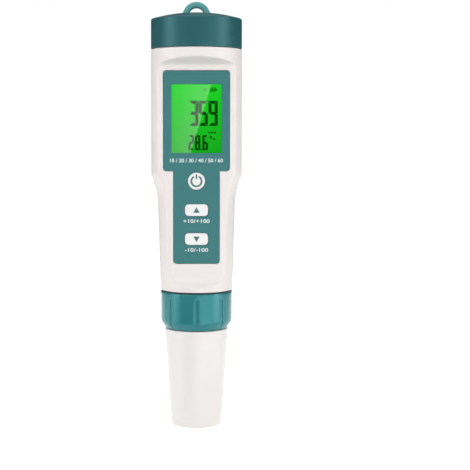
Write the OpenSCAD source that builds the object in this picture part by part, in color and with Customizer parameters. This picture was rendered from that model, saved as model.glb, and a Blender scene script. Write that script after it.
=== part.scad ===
// Water quality test pen with a screw battery cap, a lit display, three keys
// and a plug-in probe held by a locking collar under a protective cap.
// Sizes in millimetres. The pen stands on its protective cap, front towards -Y.

/* [Protective cap] */
// Height of the protective cap
cap_height = 42.5; // [41:0.5:46]
// How much narrower the protective cap's bore is at its floor than at the probe
cap_taper = 1.6; // [1.3:0.1:1.9]
// Wall of the protective cap at its mouth
cap_mouth_wall = 2.6; // [2.2:0.1:2.8]
// Wall of the protective cap at its foot
cap_foot_wall = 1.4; // [1.2:0.1:1.5]
// Thickness of the protective cap's floor
cap_floor = 2.2; // [1.6:0.2:3]
// Rounding of the protective cap's foot
cap_foot_round = 1.2; // [0.6:0.2:1.6]
// Height of the storage sponge
sponge_height = 5; // [3:0.5:6]

/* [Probe] */
// Radius of the probe body
probe_r = 10.9; // [10.7:0.1:11.1]
// Gap between the storage sponge and the tip of the probe
tip_gap = 5.8; // [5:0.2:7]
// Share of the probe inside the protective cap that is slotted guard
guard_share = 0.55; // [0.5:0.01:0.58]
// Wall of the guard
guard_wall = 1.5; // [1.2:0.1:1.8]
// Number of guard slots
guard_slots = 4; // [3:1:6]
// Width of a guard slot
guard_slot_width = 5; // [3.5:0.5:5.5]
// Radius of the glass measuring bulb
bulb_r = 3.3; // [2.9:0.1:3.5]
// Radius of the glass stem
stem_r = 2.5; // [2.2:0.1:2.7]
// Number of plug pins
pin_count = 8; // [4:1:8]
// Radius of the circle of plug pins
pin_circle_r = 4.6; // [4.4:0.1:5]
// Length of a plug pin
pin_length = 4.8; // [4:0.2:5]

/* [Locking collar] */
// Height of the locking collar
collar_height = 16; // [14.5:0.5:17]
// Wall of the locking collar
collar_wall = 1.55; // [1.4:0.05:1.7]
// Height of the chamfer at the foot of the collar
collar_chamfer = 3.4; // [2.4:0.2:3.4]
// Height of the inward lip at the foot of the collar
lip_height = 3.5; // [3:0.1:4]
// Number of grip grooves round the collar
groove_count = 8; // [4:1:12]
// Width of a grip groove
groove_width = 1.1; // [0.8:0.1:1.6]
// Depth of a grip groove
groove_depth = 0.45; // [0.3:0.05:0.6]

/* [Housing] */
// Height of the tapered grip
grip_height = 35.5; // [35:0.5:38]
// Height of the flare between grip and head
flare_height = 16; // [14:1:18]
// Share of the flare's height that bends outwards from the grip
flare_bend = 0.85; // [0.6:0.05:0.9]
// Height of the straight head
head_height = 51.7; // [51:0.1:54]
// Outer radius at the top of the grip
grip_top_r = 16.7; // [16.5:0.1:17.2]
// Outer radius of the head
head_r = 19.5; // [19.4:0.1:20.2]
// Wall of the grip
grip_wall = 1.9; // [1.7:0.1:2.1]
// Distance of the flat front deck from the axis
deck_y = 10.7; // [10.7:0.1:10.9]
// Wall behind the flat front deck
front_wall = 2.8; // [2.6:0.1:2.8]
// Slope of the scoop at the top of the deck in degrees
scoop_top_slope = 17.5; // [16:0.5:24]
// Slope of the scoop at the foot of the deck in degrees
scoop_foot_slope = 36; // [30:1:40]
// Rounding where the top scoop meets the deck
scoop_top_round = 2.6; // [1.6:0.2:2.8]
// Rounding where the foot scoop meets the deck
scoop_foot_round = 5; // [3:0.2:5.4]
// Wall of the housing at the top scoop
scoop_wall = 2.3; // [2:0.1:2.5]
// Wall of the nozzle that the collar screws on
nozzle_wall = 2.4; // [2.2:0.1:2.5]
// Wall of the threaded neck under the battery cap
neck_wall = 1.6; // [1.4:0.1:1.6]
// Height of the threaded neck
neck_height = 8.8; // [8.4:0.2:9.2]

/* [Front panel and display] */
// Distance from the top of the head to the front panel
panel_drop = 9.4; // [9:0.1:10.5]
// Distance from the foot of the grip to the front panel
panel_rise = 12.1; // [11.5:0.1:13]
// Margin of the deck on each side of the wide part of the front panel
panel_margin = 2.3; // [1.8:0.1:3]
// Margin of the deck on each side of the narrow part of the front panel
narrow_margin = 1.75; // [1.5:0.05:2.2]
// Share of the front panel's height that is wide
wide_share = 0.5165; // [0.5:0.0005:0.53]
// Thickness of the front panel
panel_thickness = 1; // [0.8:0.1:1]
// Corner radius of the front panel
panel_corner = 1.3; // [0.8:0.1:2]
// Margin of the front panel on each side of the display window
window_margin = 3.4; // [3.2:0.1:4]
// Distance from the top of the front panel to the display window
window_drop = 5.6; // [5.6:0.1:6.5]
// Share of the front panel's height that the display window takes
window_share = 0.356; // [0.33:0.002:0.36]
// Thickness of the circuit board
board_thickness = 1.2; // [1:0.1:1.6]

/* [Keys] */
// Diameter of the round power key
power_key_d = 7.3; // [6.5:0.1:7.8]
// Width of the two oblong keys
key_width = 9.85; // [9:0.05:10.5]
// Height of the two oblong keys
key_height = 5.1; // [4.6:0.1:5.6]
// Corner radius of the two oblong keys
key_corner = 1.6; // [1:0.1:2]
// Travel of a key
key_travel = 0.5; // [0.3:0.1:0.6]
// Height of a key above the front panel
key_proud = 0.4; // [0.2:0.1:0.6]

/* [Battery compartment] */
// Diameter of a button cell
cell_d = 11.6; // [11:0.1:11.6]
// Height of a button cell
cell_height = 5.4; // [5:0.1:5.4]
// Number of stacked button cells
cell_count = 4; // [3:1:4]
// Wall of the battery carrier
carrier_wall = 0.9; // [0.8:0.1:0.9]

/* [Battery cap] */
// Height of the battery cap from its edge to the top of its dome
top_height = 15.3; // [15.3:0.1:17]
// Rise of the dome
dome_rise = 2.8; // [2:0.1:2.8]
// Rounding of the dome's edge
dome_round = 0.8; // [0.5:0.1:1.3]
// Wall of the battery cap's skirt
top_wall = 1.35; // [1.2:0.05:1.4]
// Outer radius of the lanyard loop
loop_r = 5.85; // [5.4:0.05:6.4]
// Radius of the hole in the lanyard loop
loop_hole_r = 3.2; // [2.8:0.1:3.4]
// Depth of the lanyard loop from front to back
loop_depth = 4; // [3:0.2:5]

/* [Clearances] */
// Seam between separate outer parts
seam = 0.3; // [0.2:0.05:0.4]
// Gap beside parts that slide past each other
slide_gap = 0.3; // [0.25:0.05:0.35]
// Gap between a sealing ring and the wall it slides on
seal_gap = 0.05; // [0.03:0.01:0.08]
// Gap that the screw threads of the battery cap fill
top_thread_gap = 0.55; // [0.45:0.05:0.6]
// Gap that the screw threads of the collar fill
collar_thread_gap = 0.35; // [0.3:0.05:0.4]
// Gap between faces that seat on each other
seat_gap = 0.1; // [0.05:0.01:0.15]

/* [Hidden] */
$fn = 96;
cut = 0.5;
edge = 0.3;
flare_steps = [for (i = [0:16]) i / 16];

// Heights, stacked from the foot upwards
collar_z = cap_height + seam;
lip_top_z = collar_z + lip_height;
washer_z = lip_top_z + seat_gap / 2;
washer_thickness = 0.9;
flange_z = washer_z + washer_thickness + seat_gap;
flange_height = 2.2;
nozzle_z = flange_z + flange_height + seat_gap;
collar_top_z = collar_z + collar_height;
gasket_thickness = 0.6;
gasket_z = collar_top_z + seat_gap;
shoulder_z = gasket_z + gasket_thickness;
grip_top_z = shoulder_z + grip_height;
flare_top_z = grip_top_z + flare_height;
head_top_z = flare_top_z + head_height;
neck_top_z = head_top_z + neck_height;
top_edge_z = head_top_z + seam;
apex_z = top_edge_z + top_height;

// Radii, built outwards from the probe and inwards from the head
nozzle_bore_r = probe_r + slide_gap;
nozzle_r = nozzle_bore_r + nozzle_wall;
collar_bore_r = nozzle_r + collar_thread_gap;
collar_r = collar_bore_r + collar_wall;
lip_bore_r = probe_r + slide_gap + seat_gap;
foot_r = collar_r + 2 * seat_gap;
flange_r = nozzle_r - seal_gap;
seat_bore_r = probe_r + slide_gap;
cap_mouth_r = seat_bore_r + cap_mouth_wall;
top_bore_r = head_r - top_wall;
neck_r = top_bore_r - top_thread_gap;
bore_r = neck_r - neck_wall;
bay_ledge = 0.55;
mouth_r = bore_r + bay_ledge;

// Layers behind the flat front, as distances in front of the axis
panel_front = deck_y - seat_gap;
panel_back = panel_front - panel_thickness;
window_flange = 0.8;
pocket_back = panel_back - window_flange;
front_in = deck_y - front_wall;
display_depth = 4.3;
board_front = front_in - display_depth;
board_back = board_front - board_thickness;
glass_thickness = 1.4;
glass_back = front_in - seat_gap - glass_thickness;
key_flange = 0.7;
switch_height = 1.2;
plunger_height = 0.3;
mat_thickness = 0.6;
mat_dome_height = 2.35;
mat_dome_wall = 0.7;
mat_dome_r = 4.2;

// Heights of the display and the keys
panel_top_z = head_top_z - panel_drop;
panel_foot_z = shoulder_z + panel_rise;
panel_height = panel_top_z - panel_foot_z;
panel_width = 2 * sqrt(head_r * head_r - deck_y * deck_y) - 2 * panel_margin;
panel_narrow_width = 2 * sqrt(foot_r * foot_r - deck_y * deck_y) - 2 * narrow_margin;
panel_wide_height = wide_share * panel_height;
window_width = panel_width - 2 * window_margin;
window_height = window_share * panel_height;
window_corner = 0.6;
window_z = panel_top_z - window_drop - window_height / 2;
key_pitch = 0.151 * panel_height;
power_key_z = panel_top_z - 0.57 * panel_height;
up_key_z = power_key_z - key_pitch;
down_key_z = up_key_z - key_pitch;
key_heights = [power_key_z, up_key_z, down_key_z];
window_lip = 0.95;
panel_gap = 0.15;
key_gap = 0.2;
key_lip = 1.1;
strip_height = 1.3;
scoop_top_gap = 2.6;
scoop_foot_rise = 5.3;
scoop_top_z = panel_top_z + scoop_top_gap;
scoop_foot_z = shoulder_z + scoop_foot_rise;
inner_scoop_z = scoop_top_z - front_wall * tan(scoop_top_slope) + scoop_wall / cos(scoop_top_slope);
glass_margin = 1.7;
frame_bar = 1.2;
lcd_width = window_width + 2 * glass_margin;
lcd_height = window_height + 2 * glass_margin - 0.5 * window_lip;
frame_width = lcd_width + 2 * frame_bar + 2 * seat_gap;
frame_height = lcd_height + 2 * seat_gap + 1.5 * frame_bar;
bulkhead_thickness = 3.5;
bulkhead_z = shoulder_z + bulkhead_thickness;
board_gap = 4.6;
board_foot_z = bulkhead_z + board_gap;
board_step_z = power_key_z + 0.4 * power_key_d;
board_top_z = window_z + frame_height / 2 - frame_bar / 2;
board_head_width = frame_width - frame_bar;
board_grip_width = 2 * (foot_r - grip_wall - front_wall);
boss_r = 2.2;
boss_bore_r = 0.9;
screw_head_r = 1.9;
screw_head_height = 1.2;
screw_reach = 3;
boss_places = [
    for (side = [-1, 1])
        for (place = [
            [board_head_width / 2 - 1.6 * boss_r, board_step_z + 1.3 * boss_r],
            [board_grip_width / 2 - 1.3 * boss_r, board_foot_z + 2.6 * boss_r]
        ])
            [side * place[0], place[1]]
];

// Battery stack, hanging from the mouth of the neck
cell_r = cell_d / 2;
contact_thickness = 0.2;
cell_gap = 0.15;
cell_proud = 2.9;
stack_top_z = neck_top_z + cell_proud;
stack_z = stack_top_z - cell_count * cell_height;
stack_height = stack_top_z - stack_z;
carrier_bore_r = cell_r + cell_gap;
carrier_r = carrier_bore_r + carrier_wall;
carrier_floor = 0.8;
carrier_floor_z = stack_z - contact_thickness - carrier_floor;
bay_r = carrier_r + slide_gap;
bay_wall = 1;
bay_floor_z = carrier_floor_z - contact_thickness - slide_gap;
bay_floor_thickness = 0.9;
bay_foot_z = bay_floor_z - bay_floor_thickness;
bay_flange_top_z = neck_top_z - 0.5;
bay_flange_thickness = 1.4;
carrier_rim = 0.95;
carrier_rim_z = bay_flange_top_z + seat_gap / 2;
carrier_rim_r = carrier_r + 2 * carrier_rim;
strap_thickness = 0.3;
strap_width = 2.6;
strap_x = carrier_bore_r + carrier_wall / 2;
tab_width = 2;
rivet_r = 1.5;
gasket_disc_z = neck_top_z + seat_gap / 2;
gasket_disc_height = 1.15;
hat_wall = 0.8;
hat_bore_r = carrier_rim_r + slide_gap + 2 * seat_gap;
hat_r = hat_bore_r + hat_wall;
hat_under_z = stack_top_z + 1.5 * hat_wall;
hat_top_z = hat_under_z + hat_wall - seat_gap;
pocket_r = hat_r + slide_gap + seat_gap;
pocket_top_z = hat_top_z + 2 * seat_gap;
ceiling_z = gasket_disc_z + gasket_disc_height + seat_gap;
dome_r = (head_r * head_r + dome_rise * dome_rise) / (2 * dome_rise);
oring_r = 0.55;
neck_ring_z = head_top_z + 2;

// Probe heights and radii
plug_rise = 0.8;
plug_top_z = shoulder_z + plug_rise;
block_z = plug_top_z + slide_gap;
block_rise = 3;
block_top_z = bulkhead_z + block_rise;
block_flange = 1.4;
pin_r = 0.5;
sleeve_bore_r = pin_r + seal_gap;
sleeve_r = 0.85;
sleeve_rise = 1;
sleeve_top_z = block_top_z + sleeve_rise;
lead = 0.6;
step = 0.6;
seal_land = 6.5;
step_z = cap_height - seal_land;
tip_z = cap_floor + sponge_height + tip_gap;
guard_height = guard_share * (cap_height - tip_z);
face_z = tip_z + guard_height;
guard_step = 0.8;
guard_tip_step = 1.5;
guard_top_r = probe_r - guard_step;
guard_tip_r = probe_r - guard_tip_step;
guard_bore_r = guard_tip_r - guard_wall;
sensor_circle_r = (stem_r + guard_bore_r) / 2;
sensor_root = 2;
sensor_reach = 0.48 * guard_height;
junction_r = 1.3;
orp_r = 1;
conductivity_r = 1.1;
temperature_r = 1.6;
conductivity_turn = 28;
cap_seat_depth = 9;
cap_seat_z = cap_height - cap_seat_depth;
cap_foot_bore_r = seat_bore_r - cap_taper;
cap_foot_r = cap_foot_bore_r + cap_foot_wall;
ring_drop = 3.6;
ring_z = cap_height - ring_drop;
plug_ring_drop = 2.4;
plug_ring_z = plug_top_z - plug_ring_drop;
bulb_z = tip_z + 1.8 * bulb_r;
bulb_top_z = bulb_z + 0.7 * bulb_r;
pin_root = 2;
key_rib_width = 2;
key_rib_height = 0.6;
key_rib_length = 3.4;
keyway_width = key_rib_width + 2 * slide_gap;

function flare_share(t) = t < flare_bend ? t * t / flare_bend : 1 - pow(1 - t, 2) / (1 - flare_bend);
function flare_r(t) = grip_top_r + (head_r - grip_top_r) * flare_share(t);
function flare_z(t) = grip_top_z + flare_height * t;
function dome_z(r) = apex_z - dome_r + sqrt(dome_r * dome_r - r * r);
function cap_bore_at(z) =
    cap_foot_bore_r + (seat_bore_r - cap_foot_bore_r) * (z - cap_floor) / (cap_seat_z - cap_floor);
function arc(cx, cy, r, from, to, n) =
    [for (i = [0:n]) [cx + r * cos(from + (to - from) * i / n), cy + r * sin(from + (to - from) * i / n)]];

module rounded(w, h, r) {
    square([w, h - 2 * r], center = true);
    square([w - 2 * r, h], center = true);
    for (x = [-1, 1])
        for (y = [-1, 1])
            translate([x * (w / 2 - r), y * (h / 2 - r)])
                circle(r = r);
}

// Plate standing upright, its outline seen from the front, between two distances in front of the axis
module upright(front, back) {
    translate([0, -back, 0])
        rotate([90, 0, 0])
            linear_extrude(height = front - back)
                children();
}

// Bar running from side to side, its outline given as distance along Y and height
module across(half) {
    rotate([90, 0, 90])
        translate([0, 0, -half])
            linear_extrude(height = 2 * half)
                children();
}

module ring(outer, inner, z0, z1) {
    difference() {
        translate([0, 0, z0])
            cylinder(r = outer, h = z1 - z0);
        translate([0, 0, z0 - cut])
            cylinder(r = inner, h = z1 - z0 + 2 * cut);
    }
}

module sealing_ring(wall_r, z) {
    translate([0, 0, z])
        rotate_extrude()
            translate([wall_r - seal_gap - oring_r, 0])
                circle(r = oring_r, $fn = 32);
}

module ring_groove(wall_r, z) {
    ring(wall_r + cut, wall_r - seal_gap - 2 * oring_r, z - oring_r - seat_gap, z + oring_r + seat_gap);
}

module panel_outline(grow) {
    overlap = panel_wide_height / 2;
    narrow_height = panel_height - overlap;
    translate([0, panel_top_z - panel_wide_height / 2])
        rounded(panel_width + 2 * grow, panel_wide_height + 2 * grow, panel_corner + grow);
    translate([0, panel_foot_z + narrow_height / 2])
        rounded(panel_narrow_width + 2 * grow, narrow_height + 2 * grow, panel_corner + grow);
}

module window_outline(grow) {
    translate([0, window_z])
        rounded(window_width + 2 * grow, window_height + 2 * grow, window_corner + max(grow, 0));
}

module power_outline(grow) {
    translate([0, power_key_z])
        circle(d = power_key_d + 2 * grow);
}

module key_outline(z, grow) {
    translate([0, z])
        rounded(key_width + 2 * grow, key_height + 2 * grow, key_corner + grow);
}

module key_outlines(grow) {
    power_outline(grow);
    key_outline(up_key_z, grow);
    key_outline(down_key_z, grow);
}

module at_bosses() {
    for (place = boss_places)
        translate(place)
            children();
}

module at_pins() {
    for (i = [0:pin_count - 1])
        rotate([0, 0, (i + 0.5) * 360 / pin_count])
            translate([pin_circle_r, 0, 0])
                children();
}

module deck_cut() {
    top_half = (90 + scoop_top_slope) / 2;
    foot_half = (90 + scoop_foot_slope) / 2;
    top_z = scoop_top_z;
    foot_z = scoop_foot_z;
    run_y = deck_y + head_r;
    across(head_r + cut)
        polygon(concat(
            [[-run_y, foot_z - head_r * tan(scoop_foot_slope)]],
            arc(-deck_y - scoop_foot_round, foot_z + scoop_foot_round / tan(foot_half), scoop_foot_round,
                scoop_foot_slope - 90, 0, 8),
            arc(-deck_y - scoop_top_round, top_z - scoop_top_round / tan(top_half), scoop_top_round,
                0, 90 - scoop_top_slope, 8),
            [[-run_y, top_z + head_r * tan(scoop_top_slope)]]
        ));
}

module cavity() {
    run_y = front_in + head_r;
    inner = [for (t = flare_steps) [min(flare_r(t) - grip_wall, bore_r), flare_z(t)]];
    intersection() {
        rotate_extrude()
            polygon(concat(
                [[0, bulkhead_z], [foot_r - grip_wall, bulkhead_z]],
                inner,
                [[bore_r, neck_top_z + cut], [0, neck_top_z + cut]]
            ));
        across(head_r)
            polygon([
                [-front_in, bulkhead_z - cut],
                [-front_in, inner_scoop_z],
                [-run_y, inner_scoop_z + head_r * tan(scoop_top_slope)],
                [-run_y, apex_z],
                [head_r, apex_z],
                [head_r, bulkhead_z - cut]
            ]);
    }
}

module bosses() {
    difference() {
        upright(front_in + cut, board_front)
            at_bosses()
                circle(r = boss_r);
        upright(front_in - seam, board_front - cut)
            at_bosses()
                circle(r = boss_bore_r);
    }
}

module main_housing() {
    flare = [for (t = flare_steps) [flare_r(t), flare_z(t)]];
    color([0.9, 0.88, 0.87]) {
        difference() {
            rotate_extrude()
                polygon(concat(
                    [[0, nozzle_z], [nozzle_r - edge, nozzle_z], [nozzle_r, nozzle_z + edge]],
                    [[nozzle_r, shoulder_z], [foot_r - edge, shoulder_z], [foot_r, shoulder_z + edge]],
                    flare,
                    [[head_r, head_top_z - edge], [head_r - edge, head_top_z], [neck_r, head_top_z]],
                    [[neck_r, neck_top_z - edge], [neck_r - edge, neck_top_z], [0, neck_top_z]]
                ));
            cavity();
            deck_cut();
            translate([0, 0, nozzle_z - cut])
                cylinder(r = nozzle_bore_r, h = bulkhead_z - nozzle_z + 2 * cut);
            translate([0, 0, bay_flange_top_z - bay_flange_thickness])
                cylinder(r = mouth_r, h = neck_height);
            ring_groove(top_bore_r, neck_ring_z);
            translate([-keyway_width / 2, nozzle_bore_r - cut, nozzle_z - cut])
                cube([keyway_width, key_rib_height + cut, key_rib_length + slide_gap + cut]);
            upright(deck_y + cut, panel_back)
                panel_outline(panel_gap);
            upright(deck_y, pocket_back)
                window_outline(window_lip + seat_gap);
            upright(deck_y, front_in - cut)
                window_outline(0);
            upright(deck_y, front_in - cut)
                key_outlines(key_gap);
        }
        bosses();
    }
}

module front_panel() {
    color([0.25, 0.49, 0.5])
        upright(panel_front, panel_back)
            difference() {
                panel_outline(0);
                window_outline(0);
                key_outlines(panel_gap);
            }
}

module display_window() {
    color([0.8, 0.9, 0.85, 0.4]) {
        upright(panel_front - seat_gap / 2, panel_back)
            window_outline(-seat_gap);
        upright(panel_back, pocket_back)
            window_outline(window_lip);
    }
}

module lcd_glass() {
    color([0.3, 0.75, 0.3, 0.8]) {
        upright(pocket_back - seat_gap, front_in - seat_gap)
            window_outline(-seat_gap);
        upright(front_in - seat_gap, glass_back)
            translate([0, window_z])
                square([lcd_width, lcd_height], center = true);
    }
}

module backlight_plate() {
    height = lcd_height - strip_height - 2 * edge;
    color([0.75, 0.95, 0.75])
        upright(glass_back, board_front + 2 * seat_gap)
            translate([0, window_z + (lcd_height - height) / 2])
                square([lcd_width - 2 * edge, height], center = true);
}

module contact_strips() {
    color([0.15, 0.15, 0.17])
        upright(glass_back, board_front)
            translate([0, window_z - (lcd_height - strip_height) / 2 + seat_gap])
                square([lcd_width - 2 * frame_bar, strip_height], center = true);
}

module display_frame() {
    color([0.86, 0.87, 0.86])
        upright(front_in - seat_gap, board_front)
            translate([0, window_z])
                difference() {
                    square([frame_width, frame_height], center = true);
                    square([lcd_width + 2 * seat_gap, lcd_height + 2 * seat_gap], center = true);
                }
}

module circuit_board() {
    color([0.08, 0.36, 0.2])
        upright(board_front, board_back)
            difference() {
                union() {
                    translate([-board_head_width / 2, board_step_z])
                        square([board_head_width, board_top_z - board_step_z]);
                    translate([-board_grip_width / 2, board_foot_z])
                        square([board_grip_width, board_step_z - board_foot_z + cut]);
                }
                at_bosses()
                    circle(r = boss_bore_r + 2 * seat_gap);
            }
}

module control_chip() {
    side = 0.33 * window_width;
    body = 0.19 * side;
    pitch = 0.11 * side;
    wire = 0.04 * side;
    translate([0, -board_back, window_z - side / 2]) {
        color([0.1, 0.1, 0.11])
            translate([-side / 2, wire / 2, -side / 2])
                cube([side, body, side]);
        color([0.75, 0.76, 0.78])
            for (turn = [0:3])
                rotate([0, turn * 90, 0])
                    for (i = [-3:3])
                        translate([side / 2 - wire, 0, i * pitch - wire / 2])
                            cube([0.16 * side, 1.6 * wire, wire]);
    }
}

module small_components() {
    unit = board_grip_width / 20;
    crystal = [3 * unit, 1.6 * unit, 8 * unit];
    resistor = [unit, 0.8 * unit, 1.8 * unit];
    capacitor = [2.6 * unit, 1.1 * unit, 1.6 * unit];
    translate([0, -board_back, 0]) {
        color([0.75, 0.76, 0.78])
            translate([-8 * unit, 0, window_z + 4 * unit])
                cube(crystal);
        color([0.72, 0.6, 0.42])
            for (x = [-4, -1.2, 6, 8.5])
                translate([x * unit, 0, power_key_z])
                    cube(resistor);
        color([0.12, 0.12, 0.13])
            for (z = [up_key_z + 2 * unit, down_key_z + 3 * unit])
                for (x = [-8, 5.4])
                    translate([x * unit, 0, z])
                        cube(capacitor);
        color([0.2, 0.2, 0.22])
            translate([0, 0, up_key_z - 5 * unit])
                rotate([-90, 0, 0])
                    cylinder(r = 4.2 * unit, h = 2.4 * unit);
    }
}

module key_switches() {
    side = 1.1 * mat_dome_r;
    for (z = key_heights)
        translate([0, 0, z]) {
            color([0.7, 0.71, 0.73])
                upright(board_front + switch_height, board_front)
                    square([side, side], center = true);
            color([0.15, 0.15, 0.16])
                upright(board_front + switch_height + plunger_height, board_front + switch_height)
                    circle(r = side / 4);
        }
}

module keypad_mat() {
    half = 1.4 * mat_dome_r;
    dome_front = board_front + mat_dome_height;
    color([0.55, 0.57, 0.58])
        difference() {
            union() {
                upright(board_front + mat_thickness, board_front)
                    translate([-half, down_key_z - half])
                        square([2 * half, power_key_z - down_key_z + 2 * half]);
                for (z = key_heights)
                    upright(dome_front, board_front)
                        translate([0, z])
                            circle(r = mat_dome_r);
            }
            for (z = key_heights)
                upright(dome_front - mat_dome_wall, board_front - cut)
                    translate([0, z])
                        circle(r = mat_dome_r - mat_dome_wall);
        }
}

module board_screws() {
    slot = 0.2 * screw_head_r;
    shank = board_thickness + screw_reach;
    color([0.72, 0.73, 0.75])
        for (place = boss_places)
            translate([place[0], -board_back, place[1]])
                rotate([-90, 0, 0])
                    difference() {
                        union() {
                            cylinder(r = screw_head_r, h = screw_head_height);
                            translate([0, 0, -shank])
                                cylinder(r = boss_bore_r - seal_gap, h = shank + cut);
                        }
                        for (turn = [0, 90])
                            rotate([0, 0, turn])
                                translate([-0.6 * screw_head_r, -slot / 2, 0.6 * screw_head_height])
                                    cube([1.2 * screw_head_r, slot, screw_head_height]);
                    }
}

module battery_bay() {
    flat_z = inner_scoop_z + edge;
    color([0.82, 0.83, 0.82])
        difference() {
            union() {
                translate([0, 0, bay_foot_z])
                    cylinder(r = bay_r + bay_wall, h = bay_flange_top_z - bay_foot_z);
                translate([0, 0, bay_flange_top_z - bay_flange_thickness])
                    cylinder(r = mouth_r - seal_gap, h = bay_flange_thickness);
            }
            translate([0, 0, bay_floor_z])
                cylinder(r = bay_r, h = neck_top_z);
            translate([-head_r, -head_r - front_in + seat_gap, bay_foot_z - cut])
                cube([2 * head_r, head_r, max(flat_z - bay_foot_z, cut) + cut]);
            translate([0, -strap_width / 2, bay_foot_z - cut])
                cube([bay_r + strap_thickness, strap_width, 0.86 * stack_height]);
            translate([-tab_width / 2, -board_back, bay_foot_z - cut])
                cube([tab_width, strap_thickness, neck_top_z]);
            for (turn = [60, 180, 300])
                rotate([0, 0, turn])
                    translate([(bay_r + bay_wall + mouth_r) / 2, 0, bay_flange_top_z - neck_height / 2])
                        cylinder(r = (mouth_r - bay_r) / 6, h = neck_height);
        }
}

module bay_contacts() {
    solder_z = bay_foot_z - 2 * tab_width;
    strip_x = bay_r;
    strip_width = strap_width - 2 * seat_gap;
    strip_foot_z = bay_foot_z - strap_thickness / 2;
    color([0.83, 0.75, 0.5]) {
        translate([0, 0, bay_floor_z])
            cylinder(r = 1.5 * tab_width, h = contact_thickness);
        translate([-tab_width / 2, -board_back, solder_z])
            cube([tab_width, strap_thickness, bay_floor_z + contact_thickness - solder_z]);
        translate([strip_x, -strip_width / 2, bay_foot_z - strap_thickness])
            cube([strap_thickness, strip_width, 0.82 * stack_height]);
        translate([strip_x, -board_back, solder_z])
            cube([strap_thickness, strip_width / 2 + board_back, strip_foot_z - solder_z]);
    }
}

module neck_oring() {
    color([0.1, 0.1, 0.1])
        sealing_ring(top_bore_r, neck_ring_z);
}

module socket_block() {
    color([0.16, 0.17, 0.18])
        difference() {
            union() {
                translate([0, 0, block_z])
                    cylinder(r = nozzle_bore_r - slide_gap, h = bulkhead_z - block_z + cut);
                translate([0, 0, bulkhead_z])
                    cylinder(r = foot_r - grip_wall - slide_gap, h = block_flange);
                translate([0, 0, bulkhead_z])
                    cylinder(r = pin_circle_r + 3 * sleeve_r, h = block_rise);
            }
            at_pins()
                translate([0, 0, block_z - cut])
                    cylinder(r = sleeve_r, h = neck_top_z);
            translate([-head_r, -head_r - front_in + seat_gap, bulkhead_z])
                cube([2 * head_r, head_r, head_r]);
        }
}

module socket_contacts() {
    color([0.83, 0.68, 0.35])
        at_pins()
            ring(sleeve_r, sleeve_bore_r, block_z + seat_gap, sleeve_top_z);
}

module socket_leads() {
    color([0.75, 0.3, 0.2])
        for (i = [0:pin_count - 1]) {
            turn = (i + 0.5) * 360 / pin_count;
            x = pin_circle_r * cos(turn) - lead / 2;
            y = pin_circle_r * sin(turn);
            face_y = y < -(board_front + board_back) / 2 ? -board_front : -board_back;
            rise = board_foot_z - sleeve_top_z + (y > 0 ? 4 : 2) * lead;
            translate([x, y - lead / 2, sleeve_top_z])
                cube([lead, lead, rise]);
            translate([x, min(y, face_y), sleeve_top_z + rise - lead])
                cube([lead, abs(y - face_y), lead]);
        }
}

module nozzle_gasket() {
    color([0.07, 0.08, 0.09])
        ring(collar_r - 2 * seat_gap, nozzle_r + seal_gap, gasket_z, shoulder_z);
}

module battery_carrier() {
    finger_width = 1.2 * cell_r;
    color([0.85, 0.86, 0.85])
        difference() {
            union() {
                translate([0, 0, carrier_floor_z])
                    cylinder(r = carrier_r, h = carrier_rim_z - carrier_floor_z + cut);
                translate([0, 0, carrier_rim_z])
                    cylinder(r = carrier_rim_r, h = carrier_rim);
            }
            translate([0, 0, carrier_floor_z + carrier_floor])
                cylinder(r = carrier_bore_r, h = neck_top_z);
            translate([0, 0, carrier_floor_z - cut])
                cylinder(r = rivet_r + seal_gap, h = carrier_floor + 2 * cut);
            translate([-finger_width / 2, -head_r, carrier_floor_z + 4 * carrier_floor])
                cube([finger_width, 2 * head_r, 0.65 * stack_height]);
            translate([strap_x - seal_gap, -strap_width / 2 - seat_gap, carrier_floor_z + 3 * carrier_floor])
                cube([carrier_wall + seat_gap, strap_width + 2 * seat_gap, neck_top_z]);
        }
}

module battery_cells() {
    lip = cell_height / 10;
    color([0.8, 0.81, 0.83])
        for (i = [0:cell_count - 1])
            translate([0, 0, stack_z + i * cell_height])
                rotate_extrude()
                    polygon([
                        [0, 0],
                        [cell_r - lip, 0],
                        [cell_r, lip],
                        [cell_r, cell_height - 1.3 * lip],
                        [cell_r - 1.5 * lip, cell_height - 1.2 * lip],
                        [cell_r - 2 * lip, cell_height],
                        [0, cell_height]
                    ]);
}

module carrier_contacts() {
    color([0.83, 0.75, 0.5]) {
        translate([0, 0, stack_z - contact_thickness])
            cylinder(r = 2 * rivet_r, h = contact_thickness);
        translate([0, 0, carrier_floor_z - seal_gap])
            cylinder(r = rivet_r, h = carrier_floor + contact_thickness);
        translate([0, 0, stack_top_z])
            cylinder(r = 2.3 * rivet_r, h = contact_thickness);
        translate([0, -strap_width / 2, stack_top_z])
            cube([strap_x + strap_thickness, strap_width, contact_thickness]);
        translate([strap_x, -strap_width / 2, carrier_floor_z + 5 * carrier_floor])
            cube([strap_thickness, strap_width, stack_height + 2 * contact_thickness - 4 * carrier_floor]);
    }
}

module cap_gasket() {
    rim_r = top_bore_r - slide_gap + seal_gap;
    color([0.12, 0.12, 0.13])
        rotate_extrude()
            polygon([
                [hat_bore_r, gasket_disc_z],
                [rim_r, gasket_disc_z],
                [rim_r, gasket_disc_z + gasket_disc_height],
                [hat_r, gasket_disc_z + gasket_disc_height],
                [hat_r, hat_top_z],
                [0, hat_top_z],
                [0, hat_under_z],
                [hat_bore_r, hat_under_z]
            ]);
}

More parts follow.
